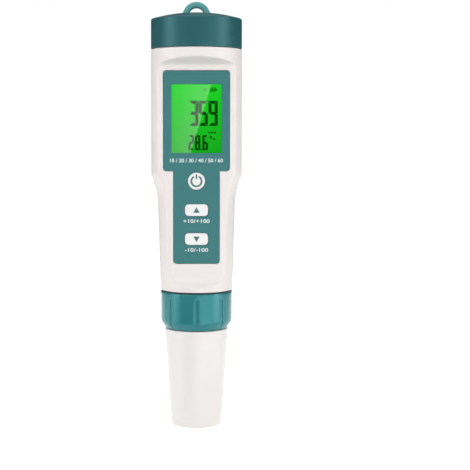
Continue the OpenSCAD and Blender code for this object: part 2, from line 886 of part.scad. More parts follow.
module contact_spring() {
    leaf_z = hat_under_z - contact_thickness;
    button_z = stack_top_z + contact_thickness + seat_gap;
    color([0.83, 0.75, 0.5]) {
        ring(hat_bore_r - edge, 0.75 * hat_bore_r, leaf_z, hat_under_z);
        for (turn = [0, 90])
            rotate([0, 0, turn])
                translate([-0.85 * hat_bore_r, -strap_width / 2, leaf_z])
                    cube([1.7 * hat_bore_r, strap_width, contact_thickness]);
        translate([0, 0, button_z])
            cylinder(r = rivet_r + edge, h = leaf_z - button_z + contact_thickness / 2);
    }
}

module battery_cap() {
    corner_r = head_r - dome_round;
    skirt_top_z = dome_z(corner_r) - dome_round;
    loop_z = apex_z + 0.8 * loop_r - loop_r;
    dome = [for (i = [1:12]) let (r = corner_r * (1 - i / 12)) [r, dome_z(r)]];
    color([0.17, 0.4, 0.4]) {
        rotate_extrude()
            polygon(concat(
                [[top_bore_r, top_edge_z], [head_r - edge, top_edge_z], [head_r, top_edge_z + edge]],
                arc(corner_r, skirt_top_z, dome_round, 0, 90, 6),
                dome,
                [[0, pocket_top_z], [pocket_r, pocket_top_z], [pocket_r, ceiling_z]],
                [[top_bore_r, ceiling_z]]
            ));
        intersection() {
            upright(loop_depth / 2, -loop_depth / 2)
                translate([0, loop_z])
                    difference() {
                        circle(r = loop_r);
                        circle(r = loop_hole_r);
                    }
            translate([-head_r, -head_r, (apex_z + pocket_top_z) / 2])
                cube(2 * head_r);
        }
    }
}

// What holds a key behind the wall, and its stem towards the switch
module key_back(z) {
    translate([0, 0, z])
        upright(front_in - key_flange, board_front + mat_dome_height + key_travel + seal_gap)
            circle(r = key_corner);
}

module power_button() {
    color([0.93, 0.92, 0.91]) {
        upright(panel_front + key_proud, front_in - key_flange)
            power_outline(0);
        upright(front_in - seat_gap, front_in - seat_gap - key_flange)
            power_outline(key_lip);
        key_back(power_key_z);
    }
}

module oblong_button(z) {
    color([0.93, 0.92, 0.91]) {
        upright(panel_front + key_proud, front_in - key_flange)
            key_outline(z, 0);
        upright(front_in - seat_gap, front_in - seat_gap - key_flange)
            key_outline(z, key_lip);
        key_back(z);
    }
}

module up_button() {
    oblong_button(up_key_z);
}

module down_button() {
    oblong_button(down_key_z);
}

module at_sensor(turn) {
    rotate([0, 0, turn])
        translate([sensor_circle_r, 0, 0])
            children();
}

// Blind hole for a sensor of that radius in the face of the probe
module socket_hole(r) {
    translate([0, 0, face_z - cut])
        cylinder(r = r + seal_gap, h = sensor_root + seal_gap + cut);
}

module probe_housing() {
    color([0.88, 0.88, 0.86])
        difference() {
            union() {
                rotate_extrude()
                    polygon([
                        [0, tip_z],
                        [guard_tip_r, tip_z],
                        [guard_top_r, step_z - step],
                        [probe_r, step_z],
                        [probe_r, flange_z],
                        [flange_r, flange_z],
                        [flange_r, flange_z + flange_height],
                        [probe_r, flange_z + flange_height],
                        [probe_r, plug_top_z - step],
                        [probe_r - step, plug_top_z],
                        [0, plug_top_z]
                    ]);
                translate([-key_rib_width / 2, 0, flange_z + flange_height - cut])
                    cube([key_rib_width, probe_r + key_rib_height, key_rib_length + cut]);
            }
            ring_groove(seat_bore_r, ring_z);
            ring_groove(nozzle_bore_r, plug_ring_z);
            translate([0, 0, tip_z - cut])
                cylinder(r = guard_bore_r, h = guard_height + cut);
            for (i = [0:guard_slots - 1])
                rotate([0, 0, (i + 0.5) * 360 / guard_slots])
                    translate([0, -guard_slot_width / 2, tip_z - cut])
                        cube([head_r, guard_slot_width, 0.67 * guard_height + cut]);
            socket_hole(stem_r);
            at_sensor(180)
                socket_hole(junction_r);
            at_sensor(90)
                socket_hole(orp_r);
            for (side = [-1, 1])
                at_sensor(side * conductivity_turn)
                    socket_hole(conductivity_r);
            at_sensor(270)
                socket_hole(temperature_r);
            at_pins()
                translate([0, 0, plug_top_z - pin_root])
                    cylinder(r = pin_r, h = pin_root + cut);
        }
}

module plug_pins() {
    tip = pin_r / 2;
    color([0.86, 0.7, 0.34])
        at_pins() {
            translate([0, 0, plug_top_z - pin_root])
                cylinder(r = pin_r, h = pin_root + pin_length - tip);
            translate([0, 0, plug_top_z + pin_length - tip])
                cylinder(r1 = pin_r, r2 = tip, h = tip);
        }
}

module plug_oring() {
    color([0.1, 0.1, 0.1])
        sealing_ring(nozzle_bore_r, plug_ring_z);
}

module probe_oring() {
    color([0.1, 0.1, 0.1])
        sealing_ring(seat_bore_r, ring_z);
}

module ph_stem() {
    color([0.75, 0.88, 0.9, 0.5])
        translate([0, 0, bulb_top_z])
            cylinder(r = stem_r, h = face_z + sensor_root - bulb_top_z);
}

module ph_bulb() {
    color([0.8, 0.9, 0.92, 0.5])
        intersection() {
            translate([0, 0, bulb_z])
                sphere(r = bulb_r);
            cylinder(r = head_r, h = bulb_top_z);
        }
}

// Rod of that radius and reach below the face of the probe, rooted in it
module sensor_rod(r, reach) {
    translate([0, 0, face_z - reach])
        cylinder(r = r, h = reach + sensor_root);
}

module reference_junction() {
    color([0.95, 0.94, 0.9])
        at_sensor(180)
            sensor_rod(junction_r, step);
}

module orp_pin() {
    color([0.8, 0.8, 0.82])
        at_sensor(90) {
            sensor_rod(orp_r, 0.6 * sensor_reach);
            translate([0, 0, face_z - 0.6 * sensor_reach])
                sphere(r = orp_r);
        }
}

module conductivity_pins() {
    color([0.25, 0.26, 0.28])
        for (side = [-1, 1])
            at_sensor(side * conductivity_turn)
                sensor_rod(conductivity_r, sensor_reach);
}

module temperature_sensor() {
    color([0.72, 0.73, 0.75])
        at_sensor(270) {
            sensor_rod(temperature_r, sensor_reach);
            translate([0, 0, face_z - sensor_reach])
                sphere(r = temperature_r);
        }
}

module slip_washer() {
    color([0.2, 0.21, 0.22])
        ring(flange_r - seal_gap, lip_bore_r, washer_z, washer_z + washer_thickness);
}

module locking_collar() {
    chamfer_r = collar_r - 0.3 * (collar_r - cap_mouth_r);
    color([0.28, 0.54, 0.56])
        difference() {
            rotate_extrude()
                polygon([
                    [lip_bore_r, collar_z],
                    [cap_mouth_r - edge, collar_z],
                    [chamfer_r, collar_z + 0.7 * collar_chamfer],
                    [collar_r, collar_z + collar_chamfer],
                    [collar_r, collar_top_z - edge],
                    [collar_r - edge, collar_top_z],
                    [collar_bore_r, collar_top_z],
                    [collar_bore_r, lip_top_z],
                    [lip_bore_r, lip_top_z]
                ]);
            for (i = [0:groove_count - 1])
                rotate([0, 0, i * 360 / groove_count - 90])
                    translate([collar_r - groove_depth, -groove_width / 2, collar_z - cut])
                        cube([collar_wall + cut, groove_width, 0.9 * collar_height + cut]);
        }
}

module protective_cap() {
    foot = cap_foot_r + (cap_mouth_r - cap_foot_r) * cap_foot_round / cap_height;
    color([0.93, 0.92, 0.91])
        rotate_extrude()
            polygon(concat(
                [[0, 0]],
                arc(foot - cap_foot_round, cap_foot_round, cap_foot_round, -90, 0, 6),
                [[cap_mouth_r, cap_height - edge], [cap_mouth_r - edge, cap_height]],
                [[seat_bore_r, cap_height], [seat_bore_r, cap_seat_z]],
                [[cap_foot_bore_r, cap_floor], [0, cap_floor]]
            ));
}

module storage_sponge() {
    top_r = cap_bore_at(cap_floor + sponge_height) - seat_gap;
    color([0.93, 0.85, 0.45])
        translate([0, 0, cap_floor])
            cylinder(r1 = cap_foot_bore_r - seat_gap, r2 = top_r, h = sponge_height);
}

main_housing();
front_panel();
display_window();
lcd_glass();
backlight_plate();
display_frame();
contact_strips();
circuit_board();
control_chip();
small_components();
key_switches();
keypad_mat();
board_screws();
battery_bay();
bay_contacts();
neck_oring();
socket_block();
socket_contacts();
socket_leads();
nozzle_gasket();
battery_carrier();
battery_cells();
carrier_contacts();
cap_gasket();
contact_spring();
battery_cap();
power_button();
up_button();
down_button();
probe_housing();
plug_pins();
plug_oring();
probe_oring();
ph_stem();
ph_bulb();
reference_junction();
orp_pin();
conductivity_pins();
temperature_sensor();
slip_washer();
locking_collar();
protective_cap();
storage_sponge();
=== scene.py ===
import math

import bmesh
import bpy
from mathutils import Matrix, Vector


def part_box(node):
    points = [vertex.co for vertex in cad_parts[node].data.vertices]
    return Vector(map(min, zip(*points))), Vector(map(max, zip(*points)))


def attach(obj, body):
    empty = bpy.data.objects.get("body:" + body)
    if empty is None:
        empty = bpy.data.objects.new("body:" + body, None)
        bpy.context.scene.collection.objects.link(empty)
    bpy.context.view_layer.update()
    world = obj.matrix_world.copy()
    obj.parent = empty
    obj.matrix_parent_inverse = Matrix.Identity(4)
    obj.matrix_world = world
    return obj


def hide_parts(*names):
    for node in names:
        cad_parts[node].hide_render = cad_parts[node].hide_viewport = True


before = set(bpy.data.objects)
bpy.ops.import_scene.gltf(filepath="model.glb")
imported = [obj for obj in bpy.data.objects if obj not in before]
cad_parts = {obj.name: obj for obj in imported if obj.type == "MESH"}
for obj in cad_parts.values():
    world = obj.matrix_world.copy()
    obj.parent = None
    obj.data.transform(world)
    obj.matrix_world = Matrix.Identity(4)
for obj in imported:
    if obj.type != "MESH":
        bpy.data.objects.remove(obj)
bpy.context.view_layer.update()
MM = 0.001


def span(node):
    """Lowest and highest corner of a CAD node in millimetres."""
    lo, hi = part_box(node)
    return lo / MM, hi / MM


# ---- Sizes, in millimetres, from the CAD nodes where a box gives them, else as in part.scad ----
housing_lo, housing_hi = span("main_housing")
cap_lo, cap_hi = span("battery_cap")
collar_lo, collar_hi = span("locking_collar")
guard_hi = span("protective_cap")[1]
panel_lo, panel_hi = span("front_panel")
window_lo, window_hi = span("display_window")
gasket_hi = span("nozzle_gasket")[1]
power_lo, power_hi = span("power_button")
up_lo, up_hi = span("up_button")
down_lo, down_hi = span("down_button")
lcd_lo = span("lcd_glass")[0]
board_lo = span("circuit_board")[0]

# The housing: round shell, flare, neck under the battery cap and nozzle under the collar.
HEAD_R = housing_hi.x
FOOT_R = 15.7
GRIP_R = 16.7
FLARE_BEND = 0.85
SHOULDER_Z = gasket_hi.z
GRIP_Z = SHOULDER_Z + 35.5
FLARE_Z = GRIP_Z + 16
NOZZLE_Z = housing_lo.z
NOZZLE_R = 13.6
NOZZLE_BORE = 11.2
NECK_TOP = housing_hi.z
HEAD_TOP = NECK_TOP - 8.8
NECK_R = 17.6
BORE_R = 16.0
MOUTH_R = 16.55
MOUTH_DROP = 1.9
BULKHEAD_Z = SHOULDER_Z + 3.5
GRIP_WALL = 1.9

# The flat deck and what lies in it; fronts and backs are distances in front of the axis.
DECK_Y = 10.7
WALL_IN = 7.9
PANEL_FRONT = -panel_lo.y
PANEL_BACK = -panel_hi.y
POCKET_BACK = -window_hi.y
PANEL_GAP = 0.15
KEY_GAP = 0.2
PANEL_CORNER = 1.3
WIDE = (panel_hi.x - panel_lo.x) / 2
PANEL_TOP = panel_hi.z
PANEL_FOOT = panel_lo.z
STEP_Z = PANEL_TOP - 0.5165 * (PANEL_TOP - PANEL_FOOT)
NARROW = math.sqrt(FOOT_R**2 - DECK_Y**2) - 1.75

# The scoops at both ends of the deck, and the edges and the seal's groove of the shell.
TOP_SCOOP = PANEL_TOP + 2.6
FOOT_SCOOP = SHOULDER_Z + 5.3
TOP_SLOPE = math.radians(17.5)
FOOT_SLOPE = math.radians(36)
TOP_SCOOP_ROUND = 2.6
FOOT_SCOOP_ROUND = 5.0
SCOOP_WALL = 2.3
SCOOP_REACH = 14.0
TOP_EDGE, FOOT_EDGE = 0.3, 0.35
SEAL_GROOVE_DEPTH, SEAL_GROOVE_HALF = 0.6, 0.65

# The window and the keys; the lips of both lie behind the panel.
WINDOW_LIP = 0.95
WINDOW_HALF = (window_hi.x - window_lo.x) / 2 - WINDOW_LIP
WINDOW_Z = (window_lo.z + window_hi.z) / 2
WINDOW_RISE = (window_hi.z - window_lo.z) / 2 - WINDOW_LIP
WINDOW_TOP = WINDOW_Z + WINDOW_RISE
KEY_LIP = 1.1
POWER_Z = (power_lo.z + power_hi.z) / 2
POWER_R = (power_hi.x - power_lo.x) / 2 - KEY_LIP
UP_Z = (up_lo.z + up_hi.z) / 2
DOWN_Z = (down_lo.z + down_hi.z) / 2
KEY_HALF = (up_hi.x - up_lo.x) / 2 - KEY_LIP
KEY_RISE = (up_hi.z - up_lo.z) / 2 - KEY_LIP
KEY_CORNER = 1.6
KEY_FRONT = -up_lo.y
KEY_BACK = -up_hi.y
PRINT, PRINT_ROOT = 0.03, 0.01

# Screw threads: lead, lowest and highest point, and height of the ridge.
THREAD_LEAD = 3.0
NECK_THREAD = (HEAD_TOP + 3.4, NECK_TOP - 1.0)
NOZZLE_THREAD = (NOZZLE_Z + 1.2, SHOULDER_Z - 2.0)
NECK_RIDGE, NOZZLE_RIDGE = 0.42, 0.26


# ---- Mesh helpers, all in millimetres ----
def linked(name, data):
    """New object of the scene, made of a mesh, curve, light or camera."""
    obj = bpy.data.objects.new(name, data)
    bpy.context.scene.collection.objects.link(obj)
    return obj


def new_object(name, points, faces, body, material, sharp=32):
    mesh = bpy.data.meshes.new(name)
    mesh.from_pydata([Vector(p) * MM for p in points], [], faces)
    mesh.validate()
    bm = bmesh.new()
    bm.from_mesh(mesh)
    bmesh.ops.remove_doubles(bm, verts=bm.verts, dist=1e-8)
    bmesh.ops.recalc_face_normals(bm, faces=bm.faces)
    bm.to_mesh(mesh)
    bm.free()
    obj = linked(name, mesh)
    smooth(obj, sharp)
    if material:
        mesh.materials.append(material)
    if body:
        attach(obj, body)
    return obj


def smooth(obj, sharp=32):
    obj.data.shade_smooth()
    obj.data.set_sharp_from_angle(angle=math.radians(sharp))


def settle(obj, sharp=32):
    """Applies the object's modifiers to its mesh."""
    graph = bpy.context.evaluated_depsgraph_get()
    mesh = bpy.data.meshes.new_from_object(obj.evaluated_get(graph))
    obj.modifiers.clear()
    old = obj.data
    obj.data = mesh
    bpy.data.meshes.remove(old)
    smooth(obj, sharp)


def carve(obj, cutters, sharp=32):
    for cutter in cutters:
        cut = obj.modifiers.new("cut", "BOOLEAN")
        cut.operation = "DIFFERENCE"
        cut.solver = "EXACT"
        cut.object = cutter
    settle(obj, sharp)
    for cutter in cutters:
        bpy.data.objects.remove(cutter)


def even_normals(obj):
    weighted = obj.modifiers.new("even normals", "WEIGHTED_NORMAL")
    weighted.keep_sharp = True


def arc_points(cx, cy, r, start, stop, steps):
    angles = [math.radians(start + (stop - start) * i / steps) for i in range(steps + 1)]
    return [(cx + r * math.cos(a), cy + r * math.sin(a)) for a in angles]


def sweep(centre, start, turn, steps):
    """Points of the arc that the arm start, held at the centre, turns through."""
    made = []
    for k in range(steps + 1):
        angle = turn * k / steps
        c, s = math.cos(angle), math.sin(angle)
        made.append((centre.x + start.x * c - start.y * s, centre.y + start.x * s + start.y * c))
    return made


def filleted(points, steps=5):
    """Profile of (r, z, radius) corners as (r, z) points with those corners rounded."""
    made = []
    count = len(points)
    for i, (r, z, radius) in enumerate(points):
        p = Vector((r, z))
        a = Vector(points[i - 1][:2])
        b = Vector(points[(i + 1) % count][:2])
        if radius <= 0:
            made.append((r, z))
            continue
        to_a, to_b = (a - p).normalized(), (b - p).normalized()
        half = math.acos(max(-1, min(1, to_a.dot(to_b)))) / 2
        reach = min(radius / math.tan(half), 0.49 * (a - p).length, 0.49 * (b - p).length)
        size = reach * math.tan(half)
        centre = p + (to_a + to_b).normalized() * (size / math.sin(half))
        start, stop = p + to_a * reach - centre, p + to_b * reach - centre
        made += sweep(centre, start, -start.angle_signed(stop), steps)
    return made


def even_angles(count):
    return [2 * math.pi * i / count for i in range(count)]


def revolve(name, profile, body, material, count=128, shape=None, angles=None, sharp=32):
    """Closed profile of (r, z) turned about the axis; angle 0 faces the front.
    shape(i, r, z, angle) may change a point's radius, and angles(i) a row's angles."""
    columns = even_angles(count)
    points, rows = [], []
    for i, (r, z) in enumerate(profile):
        if r < 1e-6:
            rows.append([len(points)] * count)
            points.append((0, 0, z))
            continue
        row = []
        for a in angles(i, z) if angles else columns:
            radius = shape(i, r, z, a) if shape else r
            row.append(len(points))
            points.append((radius * math.sin(a), -radius * math.cos(a), z))
        rows.append(row)
    faces = []
    for i in range(len(rows)):
        one, two = rows[i - 1], rows[i]
        for j in range(count):
            k = (j + 1) % count
            face = [one[j], one[k], two[k], two[j]]
            face = [v for n, v in enumerate(face) if v not in face[:n]]
            if len(face) > 2:
                faces.append(face)
    return new_object(name, points, faces, body, material, sharp)


def outline(corners, grow=0.0, steps=6):
    """Counter-clockwise (x, z, radius) corners as points, grown outwards and rounded."""
    made = []
    count = len(corners)
    for i, (x, z, r) in enumerate(corners):
        p = Vector((x, z))
        a, b = Vector(corners[i - 1][:2]), Vector(corners[(i + 1) % count][:2])
        d1, d2 = (p - a).normalized(), (b - p).normalized()
        left = Vector((-d1.y, d1.x))
        n1, n2 = -left, Vector((d2.y, -d2.x))
        q = p + (n1 + n2) * (grow / (1 + n1.dot(n2)))
        convex = d1.x * d2.y - d1.y * d2.x > 0
        radius = max(r + grow if convex else r - grow, 0.02)
        turn = math.acos(max(-1, min(1, d1.dot(d2))))
        reach = radius * math.tan(turn / 2)
        centre = q - d1 * reach + left * (radius if convex else -radius)
        start = left * (-radius if convex else radius)
        made += sweep(centre, start, turn if convex else -turn, steps)
    return made


def box_corners(half, rise, z, corner, x=0.0):
    return [
        (x - half, z - rise, corner),
        (x + half, z - rise, corner),
        (x + half, z + rise, corner),
        (x - half, z + rise, corner),
    ]


def disc_corners(r, z, x=0.0):
    return box_corners(r, r, z, r - 1e-4, x)


def loft(name, corners, layers, body, material, steps=6, sharp=32):
    """Closed skin over copies of an outline; each layer is (grow, distance from the axis)."""
    points, faces = [], []
    rings = []
    for grow, front in layers:
        ring = outline(corners, grow, steps)
        rings.append(range(len(points), len(points) + len(ring)))
        points += [(x, -front, z) for x, z in ring]
    for one, two in zip(rings, rings[1:]):
        count = len(one)
        for j in range(count):
            k = (j + 1) % count
            faces.append([one[j], one[k], two[k], two[j]])
    faces.append(list(rings[0]))
    faces.append(list(rings[-1])[::-1])
    return new_object(name, points, faces, body, material, sharp)


def plate(name, outer, holes, front, back, bevel, body, material, steps=8, sharp=32):
    """Upright plate with holes and softened front edges."""
    mesh = bpy.data.meshes.new(name)
    bm = bmesh.new()
    fronts, backs = [], []
    for corners, sign in [(outer, 1)] + [(hole, -1) for hole in holes]:
        layers = [(0, back)]
        for k in range(4):
            a = math.pi / 2 * k / 3
            layers.append((-sign * bevel * (1 - math.cos(a)), front - bevel * (1 - math.sin(a))))
        rings = []
        for grow, y in layers:
            ring = [bm.verts.new(Vector((x, -y, z)) * MM) for x, z in outline(corners, grow, steps)]
            rings.append(ring)
        for one, two in zip(rings, rings[1:]):
            for j in range(len(one)):
                k = (j + 1) % len(one)
                bm.faces.new([one[j], one[k], two[k], two[j]])
        backs.append(rings[0])
        fronts.append(rings[-1])
    for group in (fronts, backs):
        edges = []
        for ring in group:
            for j in range(len(ring)):
                pair = (ring[j], ring[(j + 1) % len(ring)])
                edges.append(bm.edges.get(pair) or bm.edges.new(pair))
        bmesh.ops.triangle_fill(bm, edges=edges, use_beauty=True, use_dissolve=False)
    bmesh.ops.remove_doubles(bm, verts=bm.verts, dist=1e-8)
    bmesh.ops.recalc_face_normals(bm, faces=bm.faces)
    bm.to_mesh(mesh)
    bm.free()
    obj = linked(name, mesh)
    mesh.materials.append(material)
    smooth(obj, sharp)
    even_normals(obj)
    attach(obj, body)
    return obj


def print_on(name, polygons, front, body, material):
    """Thin print of convex (x, z) polygons on a flat front at that distance from the axis."""
    points, faces = [], []
    for polygon in polygons:
        start, count = len(points), len(polygon)
        points += [(x, -front - PRINT, z) for x, z in polygon]
        points += [(x, -front + PRINT_ROOT, z) for x, z in polygon]
        faces.append([start + i for i in range(count)])
        faces.append([start + count + i for i in reversed(range(count))])
        for i in range(count):
            k = (i + 1) % count
            faces.append([start + i, start + k, start + count + k, start + count + i])
    return new_object(name, points, faces, body, material)


def thread(name, radius, height, z0, z1, phase, body, material, slot, width=1.0):
    """Screw ridge standing out of (height > 0) or into (height < 0) a wall, with run-out ends."""
    turns = (z1 - z0) / THREAD_LEAD
    steps = int(turns * 72)
    points, faces = [], []
    for i in range(steps + 1):
        t = i / steps
        a = 2 * math.pi * (turns * t + phase)
        z = z0 + (z1 - z0) * t
        fade = max(0.04, min(1, 14 * t, 14 * (1 - t)))
        root = radius - math.copysign(0.05, height)
        tip = radius + height * fade
        for r, dz in (
            (root, -width / 2),
            (radius + 0.85 * height * fade, -width * 0.27),
            (tip, -width * 0.16),
            (tip, width * 0.16),
            (radius + 0.85 * height * fade, width * 0.27),
            (root, width / 2),
        ):
            points.append((-r * math.sin(a), r * math.cos(a), z + dz))
    for i in range(steps):
        for k in range(6):
            m = (k + 1) % 6
            faces.append([i * 6 + k, i * 6 + m, (i + 1) * 6 + m, (i + 1) * 6 + k])
    faces.append(list(range(6)))
    faces.append([steps * 6 + k for k in reversed(range(6))])
    return new_object(name, points, faces, body, material, 40)


# ---- Materials ----
def mixed(nodes, links, one, two, factor):
    mix = nodes.new("ShaderNodeMix")
    mix.data_type = "RGBA"
    mix.inputs[6].default_value = (*one, 1)
    mix.inputs[7].default_value = (*two, 1)
    links.new(factor, mix.inputs[0])
    return mix.outputs[2]


def map_range(nodes, links, value, old, new):
    """The value with its old (from, to) range stretched to the new one."""
    ramp = nodes.new("ShaderNodeMapRange")
    ramp.inputs["From Min"].default_value, ramp.inputs["From Max"].default_value = old
    ramp.inputs["To Min"].default_value, ramp.inputs["To Max"].default_value = new
    links.new(value, ramp.inputs["Value"])
    return ramp.outputs["Result"]


def backlight_and_painted_sheen(nodes, links, place, lit):
    """Glow of the display, brighter towards the top, with a painted reflection that makes it a
    little brighter towards the left.
    """
    split = nodes.new("ShaderNodeSeparateXYZ")
    links.new(place.outputs["Object"], split.inputs[0])
    sides = (-WINDOW_HALF * MM, WINDOW_HALF * MM)
    ends = ((WINDOW_Z - WINDOW_RISE) * MM, (WINDOW_Z + WINDOW_RISE) * MM)
    total = nodes.new("ShaderNodeMath")
    # Painted reflection: the glow is a little stronger at the display's left side.
    links.new(map_range(nodes, links, split.outputs["X"], sides, (0.15, 0.0)), total.inputs[0])
    links.new(map_range(nodes, links, split.outputs["Z"], ends, (0.0, 0.85)), total.inputs[1])
    return mixed(nodes, links, *lit, total.outputs[0])


def finish_of(name, colour, rough, vary, grain, depth, metal=0.0, clear=0.0, emit=0.0, ior=1.46,
              specular=0.5, cloud=45, speck=None, lit=None, tint=(1, 1, 1)):
    """Moulded or machined finish: a colour with soft clouds that vary by a share of it, or specks,
    a roughness that follows the clouds, and a bump of that grain and depth. A lit finish glows
    between two colours, and tint colours its gloss."""
    made = bpy.data.materials.new(name)
    made.use_nodes = True
    nodes, links = made.node_tree.nodes, made.node_tree.links
    shader = nodes["Principled BSDF"]
    place = nodes.new("ShaderNodeTexCoord")
    clouds = nodes.new("ShaderNodeTexNoise")
    clouds.inputs["Scale"].default_value = cloud
    clouds.inputs["Detail"].default_value = 3
    links.new(place.outputs["Object"], clouds.inputs["Vector"])
    dark = tuple(c * (1 - vary) for c in colour)
    light = tuple(min(1, c * (1 + vary)) for c in colour)
    shade = mixed(nodes, links, dark, light, clouds.outputs["Fac"])
    fine = nodes.new("ShaderNodeTexNoise")
    fine.inputs["Scale"].default_value = grain
    fine.inputs["Detail"].default_value = 2
    links.new(place.outputs["Object"], fine.inputs["Vector"])
    if speck:
        mix = nodes.new("ShaderNodeMix")
        mix.data_type = "RGBA"
        mix.inputs[7].default_value = (*speck, 1)
        links.new(map_range(nodes, links, fine.outputs["Fac"], (0.56, 0.7), (0, 1)), mix.inputs[0])
        links.new(shade, mix.inputs[6])
        shade = mix.outputs[2]
    if vary or speck:
        links.new(shade, shader.inputs["Base Color"])
    else:
        shader.inputs["Base Color"].default_value = (*colour, 1)
    ends = (rough * 0.85, min(1, rough * 1.15))
    spread = map_range(nodes, links, clouds.outputs["Fac"], (0, 1), ends)
    links.new(spread, shader.inputs["Roughness"])
    if depth:
        bump = nodes.new("ShaderNodeBump")
        bump.inputs["Strength"].default_value = min(1, depth * 10)
        bump.inputs["Distance"].default_value = depth * MM
        links.new(fine.outputs["Fac"], bump.inputs["Height"])
        links.new(bump.outputs["Normal"], shader.inputs["Normal"])
    shader.inputs["Metallic"].default_value = metal
    shader.inputs["IOR"].default_value = ior
    shader.inputs["Specular IOR Level"].default_value = specular
    shader.inputs["Specular Tint"].default_value = (*tint, 1)
    shader.inputs["Transmission Weight"].default_value = clear
    if lit:
        # The display's glow carries a painted reflection that brightens its left side.
        links.new(backlight_and_painted_sheen(nodes, links, place, lit), shader.inputs["Emission Color"])
        shader.inputs["Emission Strength"].default_value = emit
    return made


WHITE = (0.80, 0.755, 0.735)
FINISH = {
    "white_shell": finish_of("white_shell", WHITE, 0.4, 0.015, 1400, 0.012),
    "teal_panel": finish_of("teal_panel", (0.037, 0.178, 0.185), 0.42, 0.05, 2500, 0.01,
                            cloud=60, specular=0.35),
    "clear_window": finish_of("clear_window", (0.97, 1.0, 0.98), 0.01, 0.0, 400, 0.0,
                              clear=1.0, ior=1.45),
    "lcd_green": finish_of("lcd_green", (0.002, 0.06, 0.003), 0.4, 0.06, 300, 0.0, specular=0.0,
                           emit=1.0, lit=((0.006, 0.37, 0.010), (0.012, 0.66, 0.018))),
    "backlight": finish_of("backlight", (0.45, 0.9, 0.45), 0.5, 0.03, 500, 0.02,
                           emit=0.4, lit=((0.4, 0.85, 0.4), (0.5, 0.95, 0.5))),
    "natural_plastic": finish_of("natural_plastic", (0.72, 0.73, 0.70), 0.45, 0.04, 900, 0.03),
    "black_rubber": finish_of("black_rubber", (0.012, 0.015, 0.017), 0.55, 0.15, 1500, 0.03),
    "grey_rubber": finish_of("grey_rubber", (0.23, 0.24, 0.25), 0.6, 0.08, 1500, 0.03),
    "board_green": finish_of("board_green", (0.01, 0.13, 0.05), 0.35, 0.2, 260, 0.03,
                             speck=(0.03, 0.22, 0.09)),
    "chip_black": finish_of("chip_black", (0.02, 0.02, 0.022), 0.45, 0.1, 3000, 0.02),
    "component_metal": finish_of("component_metal", (0.62, 0.63, 0.65), 0.3, 0.06, 1200, 0.01,
                                 metal=1.0),
    "steel": finish_of("steel", (0.66, 0.67, 0.69), 0.24, 0.06, 1800, 0.01, metal=1.0),
    "brass": finish_of("brass", (0.72, 0.53, 0.23), 0.28, 0.07, 1500, 0.01, metal=1.0),
    "black_plastic": finish_of("black_plastic", (0.03, 0.032, 0.035), 0.4, 0.1, 1800, 0.03),
    "tinned_wire": finish_of("tinned_wire", (0.52, 0.05, 0.03), 0.45, 0.06, 900, 0.02),
    "teal_dark": finish_of("teal_dark", (0.017, 0.090, 0.103), 0.36, 0.05, 1500, 0.012,
                           cloud=70, tint=(0.42, 0.9, 0.95)),
    # Painted light: the loop's teal is the cap's own teal made lighter, as if lit from above.
    "teal_loop": finish_of("teal_loop", (0.10, 0.34, 0.34), 0.34, 0.05, 1500, 0.012,
                           cloud=70, specular=0.35),
    "white_key": finish_of("white_key", (0.82, 0.82, 0.82), 0.38, 0.015, 1500, 0.02),
    "probe_plastic": finish_of("probe_plastic", (0.74, 0.74, 0.71), 0.38, 0.03, 1000, 0.02),
    "probe_glass": finish_of("probe_glass", (0.93, 0.98, 1.0), 0.02, 0.01, 300, 0.0, clear=1.0),
    "ceramic": finish_of("ceramic", (0.86, 0.84, 0.79), 0.7, 0.05, 2500, 0.05),
    "graphite": finish_of("graphite", (0.05, 0.052, 0.057), 0.38, 0.12, 2500, 0.02, metal=0.3),
    "teal_collar": finish_of("teal_collar", (0.020, 0.180, 0.196), 0.22, 0.05, 1200, 0.01,
                             cloud=70, specular=0.75, tint=(0.4, 0.95, 1.0)),
    "white_cap": finish_of("white_cap", (0.815, 0.78, 0.76), 0.36, 0.012, 1400, 0.012),
    "sponge": finish_of("sponge", (0.82, 0.68, 0.22), 0.9, 0.1, 700, 0.5, speck=(0.5, 0.36, 0.08)),
}
print_white = finish_of("print_white", (0.86, 0.9, 0.9), 0.5, 0.02, 2000, 0.01)
print_teal = finish_of("print_teal", (0.06, 0.16, 0.15), 0.5, 0.05, 2000, 0.01)
ink_dark = finish_of("ink_dark", (0.0015, 0.012, 0.002), 0.5, 0.1, 2000, 0.01, specular=0.0,
                    emit=1.0, lit=((0.0, 0.035, 0.0), (0.0005, 0.055, 0.0005)))


# ---- Housing shell with its flat deck, scoops and recesses ----
def smoothstep(t):
    return t * t * (3 - 2 * t)


def flare_share(t):
    return t * t / FLARE_BEND if t < FLARE_BEND else 1 - (1 - t) ** 2 / (1 - FLARE_BEND)


def body_radius(z):
    if z <= GRIP_Z:
        return FOOT_R + (GRIP_R - FOOT_R) * (z - SHOULDER_Z) / (GRIP_Z - SHOULDER_Z)
    if z < FLARE_Z:
        return GRIP_R + (HEAD_R - GRIP_R) * flare_share((z - GRIP_Z) / (FLARE_Z - GRIP_Z))
    return HEAD_R


def deck_line():
    """The deck from foot to top as (distance in front of the axis, z), with rounded scoops."""
    return filleted([
        (DECK_Y + SCOOP_REACH, FOOT_SCOOP - SCOOP_REACH * math.tan(FOOT_SLOPE), 0),
        (DECK_Y, FOOT_SCOOP, FOOT_SCOOP_ROUND),
        (DECK_Y, TOP_SCOOP, TOP_SCOOP_ROUND),
        (DECK_Y + SCOOP_REACH, TOP_SCOOP + SCOOP_REACH * math.tan(TOP_SLOPE), 0),
    ], 12)


DECK_LINE = deck_line()


def deck_distance(z):
    if z <= DECK_LINE[0][1]:
        return DECK_Y + SCOOP_REACH
    for (y0, z0), (y1, z1) in zip(DECK_LINE, DECK_LINE[1:]):
        if z0 <= z <= z1:
            return y0 + (y1 - y0) * (z - z0) / max(z1 - z0, 1e-9)
    return DECK_Y + SCOOP_REACH


